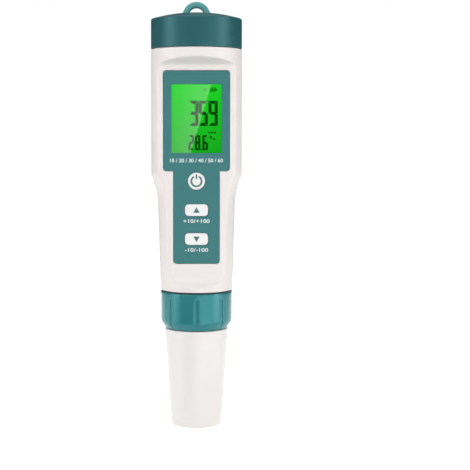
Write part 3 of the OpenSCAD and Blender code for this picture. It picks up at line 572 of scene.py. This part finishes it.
def soft_min(a, b, k):
    """The smaller of two values, with a smooth change over where they differ by less than k."""
    h = max(k - abs(a - b), 0) / k
    return min(a, b) - h * h * k / 4


FINE_ROW, BEND_ROW, WIDE_ROW = 0.25, 0.6, 2.4


def housing_rows():
    """Outside rows of the housing: dense where the scoops and the flare bend."""
    rows = [SHOULDER_Z + FOOT_EDGE]
    z = SHOULDER_Z + 2 * FOOT_EDGE
    while z < HEAD_TOP - TOP_EDGE - 0.5:
        rows.append(z)
        if z < FOOT_SCOOP + 3.6 or z > TOP_SCOOP - 2.6:
            z += FINE_ROW
        else:
            z += BEND_ROW if GRIP_Z - 2 < z < FLARE_Z + 1 else WIDE_ROW
    return rows + [HEAD_TOP - TOP_EDGE]


def inner_radius(z):
    return min(body_radius(z) - GRIP_WALL, BORE_R)


outside = [(body_radius(z), z) for z in housing_rows()]
top_edge = arc_points(HEAD_R - TOP_EDGE, HEAD_TOP - TOP_EDGE, TOP_EDGE, 15, 90, 5)
foot_edge = arc_points(FOOT_R - FOOT_EDGE, SHOULDER_Z + FOOT_EDGE, FOOT_EDGE, -90, -15, 5)
groove_foot, groove_top = (HEAD_TOP + 2 + side * SEAL_GROOVE_HALF for side in (-1, 1))
neck = [
    (NECK_R, HEAD_TOP), (NECK_R, groove_foot), (NECK_R - SEAL_GROOVE_DEPTH, groove_foot),
    (NECK_R - SEAL_GROOVE_DEPTH, groove_top), (NECK_R, groove_top), (NECK_R, NECK_TOP - TOP_EDGE),
    (NECK_R - TOP_EDGE, NECK_TOP), (MOUTH_R, NECK_TOP), (MOUTH_R, NECK_TOP - MOUTH_DROP),
    (BORE_R, NECK_TOP - MOUTH_DROP),
]
INNER_ROW, INNER_MARGIN = 1.5, 0.5
inner_z = [NECK_TOP - MOUTH_DROP - INNER_MARGIN - INNER_ROW * i for i in range(71)]
inner_z = [z for z in inner_z if z > BULKHEAD_Z + INNER_MARGIN] + [BULKHEAD_Z]
inside = [(inner_radius(z), z) for z in inner_z]
nozzle = [
    (NOZZLE_BORE, BULKHEAD_Z), (NOZZLE_BORE, NOZZLE_Z + 0.3), (NOZZLE_BORE + 0.3, NOZZLE_Z),
    (NOZZLE_R - 0.4, NOZZLE_Z), (NOZZLE_R, NOZZLE_Z + 0.4), (NOZZLE_R, SHOULDER_Z),
]
housing_profile = foot_edge + outside + top_edge + neck + inside + nozzle
OUT_ROWS = range(0, len(foot_edge) + len(outside) + len(top_edge))
IN_ROWS = range(OUT_ROWS.stop + len(neck), OUT_ROWS.stop + len(neck) + len(inside))
INNER_SLOPE_Z = (TOP_SCOOP - (DECK_Y - WALL_IN) * math.tan(TOP_SLOPE)
                 + SCOOP_WALL / math.cos(TOP_SLOPE))


def inner_flat(z):
    if z <= INNER_SLOPE_Z:
        return WALL_IN
    return WALL_IN + (z - INNER_SLOPE_Z) / math.tan(TOP_SLOPE)


DECK_ROUND, FOOT_CRISPER, TOP_SOFTER = 0.9, 0.45, 1.1


def edge_round(z):
    """Reach of the rounding where the deck meets the round body: less at foot, more at top."""
    foot = smoothstep(max(0, min(1, (FOOT_SCOOP + 4 - z) / 3)))
    top = smoothstep(max(0, min(1, (z - TOP_SCOOP + 1) / 2)))
    return DECK_ROUND - FOOT_CRISPER * foot + TOP_SOFTER * top


SIDE_LIMIT = 0.12


def housing_shape(i, r, z, a):
    front = math.cos(a)
    if front < SIDE_LIMIT:
        return r
    if i in OUT_ROWS:
        return soft_min(r, deck_distance(z) / front, edge_round(z))
    if i in IN_ROWS:
        return min(r, inner_flat(z) / front)
    return r


FLAT_COLUMNS, EDGE_COLUMNS, BACK_COLUMNS = 12, 14, 30
EDGE_SPREAD, LEAST_EDGE = math.radians(5), math.radians(14)


def housing_angles(i, z):
    """Angles of a row, gathered where the flat deck meets the round body."""
    if i in IN_ROWS:
        r, flat = inner_radius(z), inner_flat(z)
    else:
        r, flat = body_radius(max(z, SHOULDER_Z)), deck_distance(z)
    edge = math.acos(min(flat / r, math.cos(LEAST_EDGE)))
    start, stop = edge - EDGE_SPREAD, edge + EDGE_SPREAD
    half = [start * k / FLAT_COLUMNS for k in range(FLAT_COLUMNS)]
    half += [start + 2 * EDGE_SPREAD * k / EDGE_COLUMNS for k in range(EDGE_COLUMNS)]
    half += [stop + (math.pi - stop) * k / BACK_COLUMNS for k in range(BACK_COLUMNS + 1)]
    return half + [-a for a in reversed(half[1:-1])]


HOUSING_COLUMNS = 2 * (FLAT_COLUMNS + EDGE_COLUMNS + BACK_COLUMNS)
housing = revolve("housing_shell", housing_profile, None, FINISH["white_shell"],
                  HOUSING_COLUMNS, housing_shape, housing_angles)

PANEL_CORNERS = [
    (-NARROW, PANEL_FOOT, PANEL_CORNER), (NARROW, PANEL_FOOT, PANEL_CORNER),
    (NARROW, STEP_Z, 0.05), (WIDE, STEP_Z, PANEL_CORNER),
    (WIDE, PANEL_TOP, PANEL_CORNER), (-WIDE, PANEL_TOP, PANEL_CORNER),
    (-WIDE, STEP_Z, PANEL_CORNER), (-NARROW, STEP_Z, 0.05),
]
WINDOW_CORNERS = box_corners(WINDOW_HALF, WINDOW_RISE, WINDOW_Z, 0.6)
POWER_CORNERS = disc_corners(POWER_R, POWER_Z)
UP_CORNERS = box_corners(KEY_HALF, KEY_RISE, UP_Z, KEY_CORNER)
DOWN_CORNERS = box_corners(KEY_HALF, KEY_RISE, DOWN_Z, KEY_CORNER)
RIM = 0.4
RIM_BELLY = 0.35 * RIM
recess = loft("recess", PANEL_CORNERS, [
    (PANEL_GAP, PANEL_BACK), (PANEL_GAP, DECK_Y - RIM), (PANEL_GAP + RIM_BELLY, DECK_Y - RIM_BELLY),
    (PANEL_GAP + RIM, DECK_Y), (PANEL_GAP + RIM, DECK_Y + 1),
], None, None, 8)
pocket = loft("pocket", WINDOW_CORNERS, [
    (WINDOW_LIP + 0.1, POCKET_BACK), (WINDOW_LIP + 0.1, DECK_Y),
], None, None)
opening = loft("opening", WINDOW_CORNERS, [(0, WALL_IN - 1), (0, DECK_Y)], None, None)
holes = [
    loft("hole", corners, [(KEY_GAP, WALL_IN - 1), (KEY_GAP, DECK_Y)], None, None, 12)
    for corners in (POWER_CORNERS, UP_CORNERS, DOWN_CORNERS)
]
keyway = loft("keyway", box_corners(1.3, 2.1, NOZZLE_Z + 1.7, 0.02),
              [(0, -NOZZLE_BORE - 0.6), (0, -NOZZLE_BORE + 0.5)], None, None, 1)
carve(housing, [recess, pocket, opening, *holes, keyway], 28)
even_normals(housing)
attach(housing, "housing")
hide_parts("main_housing")

BOSS_R, BOSS_BORE, SCREW_HEAD_R = 2.2, 0.9, 1.9
screw_lo, screw_hi = span("board_screws")
high_boss = (screw_hi.x - SCREW_HEAD_R, screw_hi.z - SCREW_HEAD_R)
low_boss = (FOOT_R - GRIP_WALL - (DECK_Y - WALL_IN) - 1.3 * BOSS_R, screw_lo.z + SCREW_HEAD_R)
boss_places = [(side * x, z) for side in (-1, 1) for x, z in (high_boss, low_boss)]
for number, (x, z) in enumerate(boss_places):
    plate(f"housing_boss_{number}", disc_corners(BOSS_R, z, x), [disc_corners(BOSS_BORE, z, x)],
          WALL_IN + 0.3, -board_lo.y, 0.05, "housing", FINISH["white_shell"])

thread("neck_thread", NECK_R, NECK_RIDGE, *NECK_THREAD, 0.0, "housing",
       FINISH["white_shell"], "white_shell")
thread("nozzle_thread", NOZZLE_R, NOZZLE_RIDGE, *NOZZLE_THREAD, 0.0, "housing",
       FINISH["white_shell"], "white_shell")

# ---- Front panel and its prints ----
panel = plate("panel_plate", PANEL_CORNERS,
              [WINDOW_CORNERS]
              + [box_corners(KEY_HALF + PANEL_GAP, KEY_RISE + PANEL_GAP, z, KEY_CORNER + PANEL_GAP)
                 for z in (UP_Z, DOWN_Z)]
              + [disc_corners(POWER_R + PANEL_GAP, POWER_Z)],
              PANEL_FRONT, PANEL_BACK, 0.1, "housing", FINISH["teal_panel"], 12)
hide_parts("front_panel")


def bar(x0, x1, z, rise):
    return [(x0, z - rise), (x1, z - rise), (x1, z + rise), (x0, z + rise)]


def printed_numbers(name, text, z, height, width, front, body, material):
    """Row of plain numbers of that height and width, printed on a flat front and centred."""
    curve = bpy.data.curves.new(name, "FONT")
    curve.body = text
    curve.resolution_u = 4
    curve.extrude = 0.5
    curve.offset = 0.006
    writer = linked(name, curve)
    graph = bpy.context.evaluated_depsgraph_get()
    mesh = bpy.data.meshes.new_from_object(writer.evaluated_get(graph))
    bpy.data.objects.remove(writer)
    points = [v.co.copy() for v in mesh.vertices]
    faces = [list(f.vertices) for f in mesh.polygons]
    bpy.data.meshes.remove(mesh)
    x0, x1 = min(p.x for p in points), max(p.x for p in points)
    y0, y1 = min(p.y for p in points), max(p.y for p in points)
    wide, tall = width / (x1 - x0), height / (y1 - y0)
    placed = []
    for p in points:
        y = -front - PRINT if p.z > 0 else -front + PRINT_ROOT
        placed.append(((p.x - (x0 + x1) / 2) * wide, y, z + (p.y - (y0 + y1) / 2) * tall))
    return new_object(name, placed, faces, body, material)


SCALE_HEIGHT, SCALE_DROP = 1.6, 4.65
for name, text, z, width in (
    ("panel_scale", "10 / 20 / 30 / 40 / 50 / 60", STEP_Z + 4.4, 22.4),
    ("up_scale", "+10/+100", UP_Z - SCALE_DROP, 11.2),
    ("down_scale", "-10/-100", DOWN_Z - SCALE_DROP, 9.9),
):
    printed_numbers(name, text, z, SCALE_HEIGHT, width, PANEL_FRONT,
                    "housing", print_white)

# ---- Display ----
SEGMENTS = {"2": "abged", "3": "abgcd", "5": "afgcd", "6": "afgedc", "8": "abcdefg", "9": "abcfgd"}


def segment_shapes(cx, cz, w, h, t):
    """The seven segments of a digit, mitred at its corners, with a blunt middle bar."""
    s, g = t / 2, 0.07 * t
    half, rise = w / 2 - s, h / 2 - s

    def placed(points, sx, sz):
        return [(cx + sx * x, cz + sz * z) for x, z in points]

    blunt = 0.45 * s
    cross = [(-half - s + g, rise + s), (half + s - g, rise + s),
             (half - s - g, rise - s), (-half + s + g, rise - s)]
    upright = [(half - s, rise - s - g), (half + s, rise + s - g),
               (half + s, g), (half, g), (half - s, s + g)]
    right, inner = half - g, half - s - g + blunt
    middle = [(-right, blunt), (-inner, s), (inner, s), (right, blunt),
              (right, -blunt), (inner, -s), (-inner, -s), (-right, -blunt)]
    return {
        "a": placed(cross, 1, 1), "d": placed(cross, 1, -1), "g": placed(middle, 1, 1),
        "b": placed(upright, 1, 1), "c": placed(upright, 1, -1),
        "f": placed(upright, -1, 1), "e": placed(upright, -1, -1),
    }


def digit(mark, cx, cz, w, h, t):
    shapes = segment_shapes(cx, cz, w, h, t)
    return [shapes[s] for s in SEGMENTS[mark]]


def ring_shapes(cx, cz, outer, inner, start=0, stop=360, steps=24):
    """Flat ring, or a part of one, as four-sided polygons."""
    rims = [arc_points(cx, cz, r, start, stop, steps) for r in (inner, outer)]
    return [[rims[0][i], rims[1][i], rims[1][i + 1], rims[0][i + 1]] for i in range(steps)]


# Heights of the rows on the display, and each size of digit as its width, height and stroke.
BIG_Z = WINDOW_TOP - 12.3
SMALL_Z = WINDOW_TOP - 24.7
UNIT_Z = WINDOW_TOP - 20.4
BATTERY_Z = WINDOW_TOP - 2.3
BIG = (3.95, 10.6, 1.32)
SMALL = (2.35, 6.4, 0.92)
shapes = []
for mark, x in (("3", -1.2), ("5", 2.85), ("9", 7.05)):
    shapes += digit(mark, x, BIG_Z, *BIG)
for mark, x in (("2", -2.2), ("8", 0.5), ("6", 3.7)):
    shapes += digit(mark, x, SMALL_Z, *SMALL)
shapes += [bar(1.85, 2.45, SMALL_Z - 2.85, 0.35)]
shapes += ring_shapes(6.1, SMALL_Z + 2.3, 0.55, 0.22) + [bar(7.0, 8.0, SMALL_Z + 1.5, 0.3)]
shapes += [bar(5.0 + 1.2 * k, 5.85 + 1.2 * k, UNIT_Z, 0.33) for k in range(3)]
shapes += [bar(5.6, 8.2, BATTERY_Z + 0.75, 0.12), bar(5.6, 8.2, BATTERY_Z - 0.75, 0.12)]
shapes += [bar(5.6, 5.84, BATTERY_Z, 0.75), bar(7.96, 8.2, BATTERY_Z, 0.75)]
shapes += [bar(8.2, 8.6, BATTERY_Z, 0.35)]
shapes += [bar(6.05 + 0.62 * k, 6.45 + 0.62 * k, BATTERY_Z, 0.45) for k in range(3)]
shapes += [bar(3.0, 4.4, BATTERY_Z + 0.3, 0.14), bar(3.0, 4.1, BATTERY_Z - 0.3, 0.14)]
print_on("lcd_digits", shapes, -lcd_lo.y, "housing", ink_dark)

# ---- Keys, each on the body that has its node's name ----
KEY_LAYERS = [
    (-1.1, KEY_BACK), (-1.1, WALL_IN - 0.8), (KEY_LIP, WALL_IN - 0.8), (KEY_LIP, WALL_IN - 0.1),
    (0, WALL_IN - 0.1), (0, KEY_FRONT - 0.6), (-0.02, KEY_FRONT - 0.42), (-0.07, KEY_FRONT - 0.26),
    (-0.18, KEY_FRONT - 0.12), (-0.36, KEY_FRONT - 0.04), (-0.7, KEY_FRONT),
]
for name, corners, node, steps in (
    ("power_key", POWER_CORNERS, "power_button", 12),
    ("up_key", UP_CORNERS, "up_button", 8),
    ("down_key", DOWN_CORNERS, "down_button", 8),
):
    key = loft(name, corners, KEY_LAYERS, node, FINISH["white_key"], steps)
    even_normals(key)
    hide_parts(node)
power_shapes = ring_shapes(0, POWER_Z, 2.55, 1.8, 118, 422, 40)
power_shapes += [bar(-0.35, 0.35, POWER_Z + 1.95, 0.95)]
print_on("power_mark", power_shapes, KEY_FRONT, "power_button", print_teal)
print_on("up_mark", [[(-1.35, UP_Z - 1.1), (1.35, UP_Z - 1.1), (0, UP_Z + 1.25)]],
         KEY_FRONT, "up_button", print_teal)
print_on("down_mark", [[(-1.35, DOWN_Z + 1.1), (0, DOWN_Z - 1.25), (1.35, DOWN_Z + 1.1)]],
         KEY_FRONT, "down_button", print_teal)

# ---- Battery cap with its lanyard loop ----
TOP_BORE = 18.15
CAP_CORNER = 0.7
APEX_Z = cap_lo.z + 15.3
DOME_RISE = 2.8
DOME_R = (HEAD_R**2 + DOME_RISE**2) / (2 * DOME_RISE)
LOOP_R, LOOP_HOLE, LOOP_DEPTH = 5.85, 3.2, 4.0
LOOP_Z = cap_hi.z - LOOP_R
CAP_SEAL_THICK = 1.15
seal_lo, seal_hi = span("cap_gasket")
CEILING_Z = seal_lo.z + CAP_SEAL_THICK + 0.1
HAT_TOP = seal_hi.z + 0.2
HAT_R = 10.6
CEILING_EDGE = 0.6


def dome_z(r):
    return APEX_Z - DOME_R + math.sqrt(DOME_R**2 - r * r)


rim_r = HEAD_R - CAP_CORNER
dome = [max(rim_r - rim_r * k / 20, 0.0) for k in range(1, 20)]
dome = [(r, dome_z(r)) for r in dome]
skirt_top = dome_z(rim_r) - CAP_CORNER
skirt = [(TOP_BORE, cap_lo.z + 0.3), (TOP_BORE + 0.3, cap_lo.z)]
skirt += arc_points(HEAD_R - 0.2, cap_lo.z + 0.2, 0.2, -90, 0, 4)
skirt += [(HEAD_R, cap_lo.z + (skirt_top - cap_lo.z) * k / 5) for k in range(1, 5)]
skirt += arc_points(rim_r, skirt_top, CAP_CORNER, 0, 84, 9)
ceiling = [
    (0, APEX_Z), (0, HAT_TOP), (HAT_R - CEILING_EDGE, HAT_TOP), (HAT_R, HAT_TOP - CEILING_EDGE),
    (HAT_R, CEILING_Z), (TOP_BORE - CEILING_EDGE, CEILING_Z), (TOP_BORE, CEILING_Z - CEILING_EDGE),
]
cap_profile = skirt + dome + ceiling
cap_shell = revolve("cap_shell", cap_profile, "battery_cap", FINISH["teal_dark"], 160)
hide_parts("battery_cap")
thread("cap_thread", TOP_BORE, -NECK_RIDGE, *NECK_THREAD, 0.5, "battery_cap",
       FINISH["teal_dark"], "teal_dark")


LOOP_START, LOOP_STOP, LOOP_STEPS, LOOP_SIDES = -14, 194, 64, 20
LOOP_SQUARE = 0.55
LOOP_FOOT = 42


def swell(value):
    """Sine or cosine pushed outwards, which squares a round section."""
    return math.copysign(abs(value) ** LOOP_SQUARE, value)


def lanyard_loop():
    """Flat ring with rounded edges whose feet spread where they meet the dome."""
    points, faces = [], []
    for i in range(LOOP_STEPS + 1):
        angle = LOOP_START + (LOOP_STOP - LOOP_START) * i / LOOP_STEPS
        a = math.radians(angle)
        low = max(0.0, 1 - min(angle - LOOP_START, LOOP_STOP - angle) / LOOP_FOOT)
        outer = LOOP_R + 1.5 * low**2.2
        inner = LOOP_HOLE - 0.5 * low**2
        depth = LOOP_DEPTH / 2 + 0.5 * low**2
        for b in even_angles(LOOP_SIDES):
            r = (outer + inner) / 2 + (outer - inner) / 2 * swell(math.cos(b))
            points.append((r * math.cos(a), depth * swell(math.sin(b)), LOOP_Z + r * math.sin(a)))
    for i in range(LOOP_STEPS):
        for k in range(LOOP_SIDES):
            one, two = i * LOOP_SIDES, (i + 1) * LOOP_SIDES
            m = (k + 1) % LOOP_SIDES
            faces.append([one + k, one + m, two + m, two + k])
    faces.append(list(range(LOOP_SIDES)))
    faces.append([LOOP_STEPS * LOOP_SIDES + k for k in reversed(range(LOOP_SIDES))])
    # The loop takes the lighter teal, painted light on the cap's own teal.
    return new_object("cap_loop", points, faces, "battery_cap",
                      FINISH["teal_loop"], 50)


lanyard_loop()

# ---- Locking collar with soft grip grooves ----
COLLAR_R = collar_hi.x
COLLAR_BORE = 13.95
COLLAR_CHAMFER = 3.4
LIP_BORE = 11.3
collar_z, collar_top = collar_lo.z, collar_hi.z
LIP_TOP = collar_z + 3.5
GROOVES = 8
GROOVE_STEP = 2 * math.pi / GROOVES
GROOVE_HALF = math.radians(2.6)
GROOVE_DEPTH = 0.45
GROOVE_TOP = collar_z + 0.85 * (collar_top - collar_z)
GROOVED_FROM = 14.2
COLLAR_ROW = 0.6
collar_out = filleted([
    (LIP_BORE, collar_z, 0.2), (guard_hi.x - 0.3, collar_z, 0.35),
    (COLLAR_R, collar_z + COLLAR_CHAMFER - 0.4, 2.2), (COLLAR_R, collar_top, 0.35),
    (COLLAR_BORE, collar_top, 0.25), (COLLAR_BORE, LIP_TOP, 0.3), (LIP_BORE, LIP_TOP, 0.2),
], 6)
dense = []
for (r0, z0), (r1, z1) in zip(collar_out, collar_out[1:] + collar_out[:1]):
    pieces = max(1, int(abs(z1 - z0) / COLLAR_ROW)) if min(r0, r1) > GROOVED_FROM else 1
    dense += [(r0 + (r1 - r0) * k / pieces, z0 + (z1 - z0) * k / pieces) for k in range(pieces)]


def collar_shape(i, r, z, a):
    if r < COLLAR_BORE - 0.1 or z > collar_top - 0.1:
        return r
    off = abs((a + GROOVE_STEP / 2) % GROOVE_STEP - GROOVE_STEP / 2)
    side = max(0, 1 - (off / GROOVE_HALF) ** 4)
    top = smoothstep(max(0, min(1, (GROOVE_TOP - z) / 0.5)))
    wall = smoothstep(max(0, min(1, (r - COLLAR_BORE) / 0.4)))
    return r - GROOVE_DEPTH * side * top * wall


GROOVE_COLUMNS, LAND_COLUMNS = 9, 12


def collar_angles(i, z):
    """Angles of a row: close together over each groove and wide over the land after it."""
    reach = 1.1 * GROOVE_HALF
    made = []
    for n in range(GROOVES):
        middle = n * GROOVE_STEP
        for k in range(-GROOVE_COLUMNS, GROOVE_COLUMNS + 1):
            made.append(middle + reach * k / GROOVE_COLUMNS)
        for k in range(1, LAND_COLUMNS):
            made.append(middle + reach + (GROOVE_STEP - 2 * reach) * k / LAND_COLUMNS)
    return made


COLLAR_COLUMNS = GROOVES * (2 * GROOVE_COLUMNS + LAND_COLUMNS)
collar = revolve("collar_shell", dense, "collar", FINISH["teal_collar"],
                 COLLAR_COLUMNS, collar_shape, collar_angles, 40)
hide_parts("locking_collar")
thread("collar_thread", COLLAR_BORE, -NOZZLE_RIDGE, *NOZZLE_THREAD, 0.5, "collar",
       FINISH["teal_collar"], "teal_collar")

# ---- Protective cap ----
GUARD_FOOT_R = 11.0
GUARD_BORE, GUARD_FOOT_BORE = 11.2, 9.6
GUARD_FLOOR = 2.2
SEAT = 9.0
GUTTER = 0.25
guard_top = guard_hi.z
guard_profile = filleted([
    (0, 0, 0), (GUARD_FOOT_R - 2.6, 0, 0.3), (GUARD_FOOT_R - 2.2, GUTTER, 0.2),
    (GUARD_FOOT_R - 1.6, GUTTER, 0.2), (GUARD_FOOT_R - 1.2, 0, 0.3), (GUARD_FOOT_R, 0.0, 1.3),
    (guard_hi.x, guard_top, 0.5), (GUARD_BORE, guard_top, 0.35),
    (GUARD_BORE, guard_top - SEAT, 0.3), (GUARD_FOOT_BORE, GUARD_FLOOR, 0.8), (0, GUARD_FLOOR, 0),
], 6)
guard = revolve("protective_cap_shell", guard_profile, "protective_cap",
                FINISH["white_cap"], 160, sharp=40)
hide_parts("protective_cap")

# ---- Materials and softened edges for the CAD nodes that stay ----
for name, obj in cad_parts.items():
    if obj.hide_render:
        continue
    for holder in obj.material_slots:
        old = holder.material.name.split(".")[0] if holder.material else ""
        if old in FINISH:
            holder.material = FINISH[old]
    if name in ("display_window", "lcd_glass"):
        continue
    weld = obj.modifiers.new("weld", "WELD")
    weld.merge_threshold = 0.002 * MM
    bevel = obj.modifiers.new("soft edges", "BEVEL")
    bevel.width = 0.06 * MM
    bevel.segments = 2
    bevel.limit_method = "ANGLE"
    bevel.angle_limit = math.radians(50)
    even_normals(obj)


# ---- Floor, light and camera ----
FLOOR_Z = -0.07
FLOOR_HALF = 4


def look_share(nodes, links):
    """1 for rays that look, straight, mirrored or through glass, and 0 for the rest."""
    paths = nodes.new("ShaderNodeLightPath")
    share = paths.outputs["Is Camera Ray"]
    for kind in ("Is Glossy Ray", "Is Transmission Ray"):
        most = nodes.new("ShaderNodeMath")
        most.operation = "MAXIMUM"
        links.new(share, most.inputs[0])
        links.new(paths.outputs[kind], most.inputs[1])
        share = most.outputs[0]
    return share


def stage_sheet(name, points):
    """Four-sided sheet of the studio, and the nodes, links and output of its empty material."""
    mesh = bpy.data.meshes.new(name)
    mesh.from_pydata(points, [], [(0, 1, 2, 3)])
    sheet = linked(name, mesh)
    made = bpy.data.materials.new(name)
    made.use_nodes = True
    nodes, links = made.node_tree.nodes, made.node_tree.links
    nodes.clear()
    mesh.materials.append(made)
    return sheet, nodes, links, nodes.new("ShaderNodeOutputMaterial")


def stage_floor():
    """Pale floor, clear from below, with room above it for the pieces that come off downwards."""
    ends = ((-1, -1), (1, -1), (1, 1), (-1, 1))
    corners = [(x * FLOOR_HALF, y * FLOOR_HALF, FLOOR_Z) for x, y in ends]
    floor, nodes, links, out = stage_sheet("floor", corners)
    diffuse = nodes.new("ShaderNodeBsdfDiffuse")
    diffuse.inputs["Color"].default_value = (0.9, 0.9, 0.9, 1)
    glow = nodes.new("ShaderNodeEmission")
    glow.inputs["Color"].default_value = (1, 1, 1, 1)
    place = nodes.new("ShaderNodeTexCoord")
    far = nodes.new("ShaderNodeVectorMath")
    far.operation = "LENGTH"
    links.new(place.outputs["Object"], far.inputs[0])
    level = nodes.new("ShaderNodeMath")
    level.operation = "MULTIPLY"
    reach = map_range(nodes, links, far.outputs["Value"], (0.06, 0.5), (0.34, 1.0))
    links.new(look_share(nodes, links), level.inputs[0])
    links.new(reach, level.inputs[1])
    links.new(level.outputs[0], glow.inputs["Strength"])
    total = nodes.new("ShaderNodeAddShader")
    links.new(diffuse.outputs[0], total.inputs[0])
    links.new(glow.outputs[0], total.inputs[1])
    side = nodes.new("ShaderNodeNewGeometry")
    clear = nodes.new("ShaderNodeBsdfTransparent")
    either = nodes.new("ShaderNodeMixShader")
    links.new(side.outputs["Backfacing"], either.inputs[0])
    links.new(total.outputs[0], either.inputs[1])
    links.new(clear.outputs[0], either.inputs[2])
    links.new(either.outputs[0], out.inputs["Surface"])


def white_world(ambient):
    """World that looks white and lights the object at the ambient level."""
    world = bpy.data.worlds.new("studio")
    bpy.context.scene.world = world
    world.use_nodes = True
    nodes, links = world.node_tree.nodes, world.node_tree.links
    back = nodes["Background"]
    back.inputs["Color"].default_value = (1, 1, 1, 1)
    level = map_range(nodes, links, look_share(nodes, links), (0, 1), (ambient, 1.0))
    links.new(level, back.inputs["Strength"])


def softbox(name, place, aim, width, height, power):
    light = bpy.data.lights.new(name, "AREA")
    light.shape = "RECTANGLE"
    light.size, light.size_y = width, height
    light.energy = power
    obj = linked(name, light)
    obj.location = place
    obj.rotation_euler = (Vector(aim) - Vector(place)).to_track_quat("-Z", "Y").to_euler()
    return obj


def card(name, place, width, height, turn, lean=0.0, dim=0.02, bright=0.02, tip=0.0):
    """Card that only reflections see, dim at its left side and bright at its right."""
    half, rise = width / 2, height / 2
    corners = [(-half, 0, -rise), (half, 0, -rise), (half, 0, rise), (-half, 0, rise)]
    sheet, nodes, links, out = stage_sheet(name, corners)
    sheet.location = place
    sheet.rotation_euler = (math.radians(tip), math.radians(lean), math.radians(turn))
    glow = nodes.new("ShaderNodeEmission")
    place_of = nodes.new("ShaderNodeTexCoord")
    split = nodes.new("ShaderNodeSeparateXYZ")
    links.new(place_of.outputs["Object"], split.inputs[0])
    strength = map_range(nodes, links, split.outputs["X"], (-half, half), (dim, bright))
    links.new(strength, glow.inputs["Strength"])
    links.new(glow.outputs[0], out.inputs["Surface"])
    sheet.visible_camera = False
    sheet.visible_diffuse = False
    sheet.visible_shadow = False


CAMERA_PLACE = Vector((0.0, -0.5189, 0.1268))
CAMERA_DROP = 4.835
camera = bpy.data.cameras.new("camera")
camera.sensor_width = 36
camera.lens = 91.69
camera.shift_x = 0.082
camera.clip_start, camera.clip_end = 0.01, 20
holder = linked("camera", camera)
holder.location = CAMERA_PLACE
holder.rotation_euler = (math.radians(90 - CAMERA_DROP), 0, 0)
bpy.context.scene.camera = holder
bpy.context.scene.view_settings.view_transform = "Standard"


def mirrored(x, z, far):
    """Point on the upright plane y = -far that the flat window shows at (x, z) in millimetres."""
    pane = Vector((x * MM, window_lo.y * MM, z * MM))
    ray = pane - CAMERA_PLACE
    ray.y = -ray.y
    return pane + ray * ((-far - pane.y) / ray.y)


stage_floor()
white_world(0.40)

# Soft lights, aimed at the middle of the pen: width, height and power end each line.
middle = (0, 0, 0.1)
softbox("left_box", (-0.75, -0.30, 0.16), middle, 0.36, 0.9, 3.0)
softbox("right_box", (0.75, -0.30, 0.14), middle, 0.36, 0.9, 3.2)
softbox("front_fill", (0.0, -1.1, 0.6), middle, 0.9, 0.34, 2.4)
for side in (-1, 1):
    softbox(f"low_fill_{side + 1}", (side * 0.5, -1.0, 0.07), middle, 0.5, 0.1, 0.55)
    rear = softbox(f"back_box_{side + 1}", (side * 0.6, 0.8, 0.25), middle, 0.4, 0.6, 1.0)
    rear.visible_glossy = False
softbox("top_box", (0.0, -0.1, 0.85), middle, 0.8, 0.6, 2.0)

# Dark and bright cards that shape the gloss: before the pen, over its dome and at its rear sides.
LOW_CARD_Z = FLOOR_Z + 0.004
FLAG_FAR, FLAG_TURN = 1.0, 50.0
card("floor_flag", (-0.52, -0.75, LOW_CARD_Z), 1.0, 1.1, 0.0, tip=90)
card("floor_shine", (0.56, -0.75, LOW_CARD_Z), 1.0, 1.1, 0.0, dim=3.0, bright=2.0, tip=90)
card("front_flag", (0.0, -1.6, 0.1), 1.5, 1.8, 0.0)
card("dome_flag", (0.0, 1.35, 0.62), 0.7, 1.1, 0.0)
flag_angle = math.radians(90 - FLAG_TURN)
for side in (-1, 1):
    place = (side * FLAG_FAR * math.cos(flag_angle), FLAG_FAR * math.sin(flag_angle), 0.1)
    card(f"back_flag_{side + 1}", place, 1.7, 1.6, -side * FLAG_TURN)

# The card whose slanting left edge cuts the display in two, laid out by where the window shows it.
SHINE_FAR, SHINE_WIDTH, SHINE_HEIGHT = 1.5, 0.08, 0.5
shine_top = mirrored(6.4, WINDOW_TOP, SHINE_FAR)
shine_foot = mirrored(-2.5, WINDOW_TOP - 2 * WINDOW_RISE, SHINE_FAR)
edge = (shine_top - shine_foot).normalized()
place = (shine_top + shine_foot) / 2 + Vector((-edge.z, 0, edge.x)) * (SHINE_WIDTH / 2)
lean = math.degrees(math.atan2(edge.x, edge.z))
card("shine_card", place, SHINE_WIDTH, SHINE_HEIGHT, 0.0, lean, 0.0, 1.7)
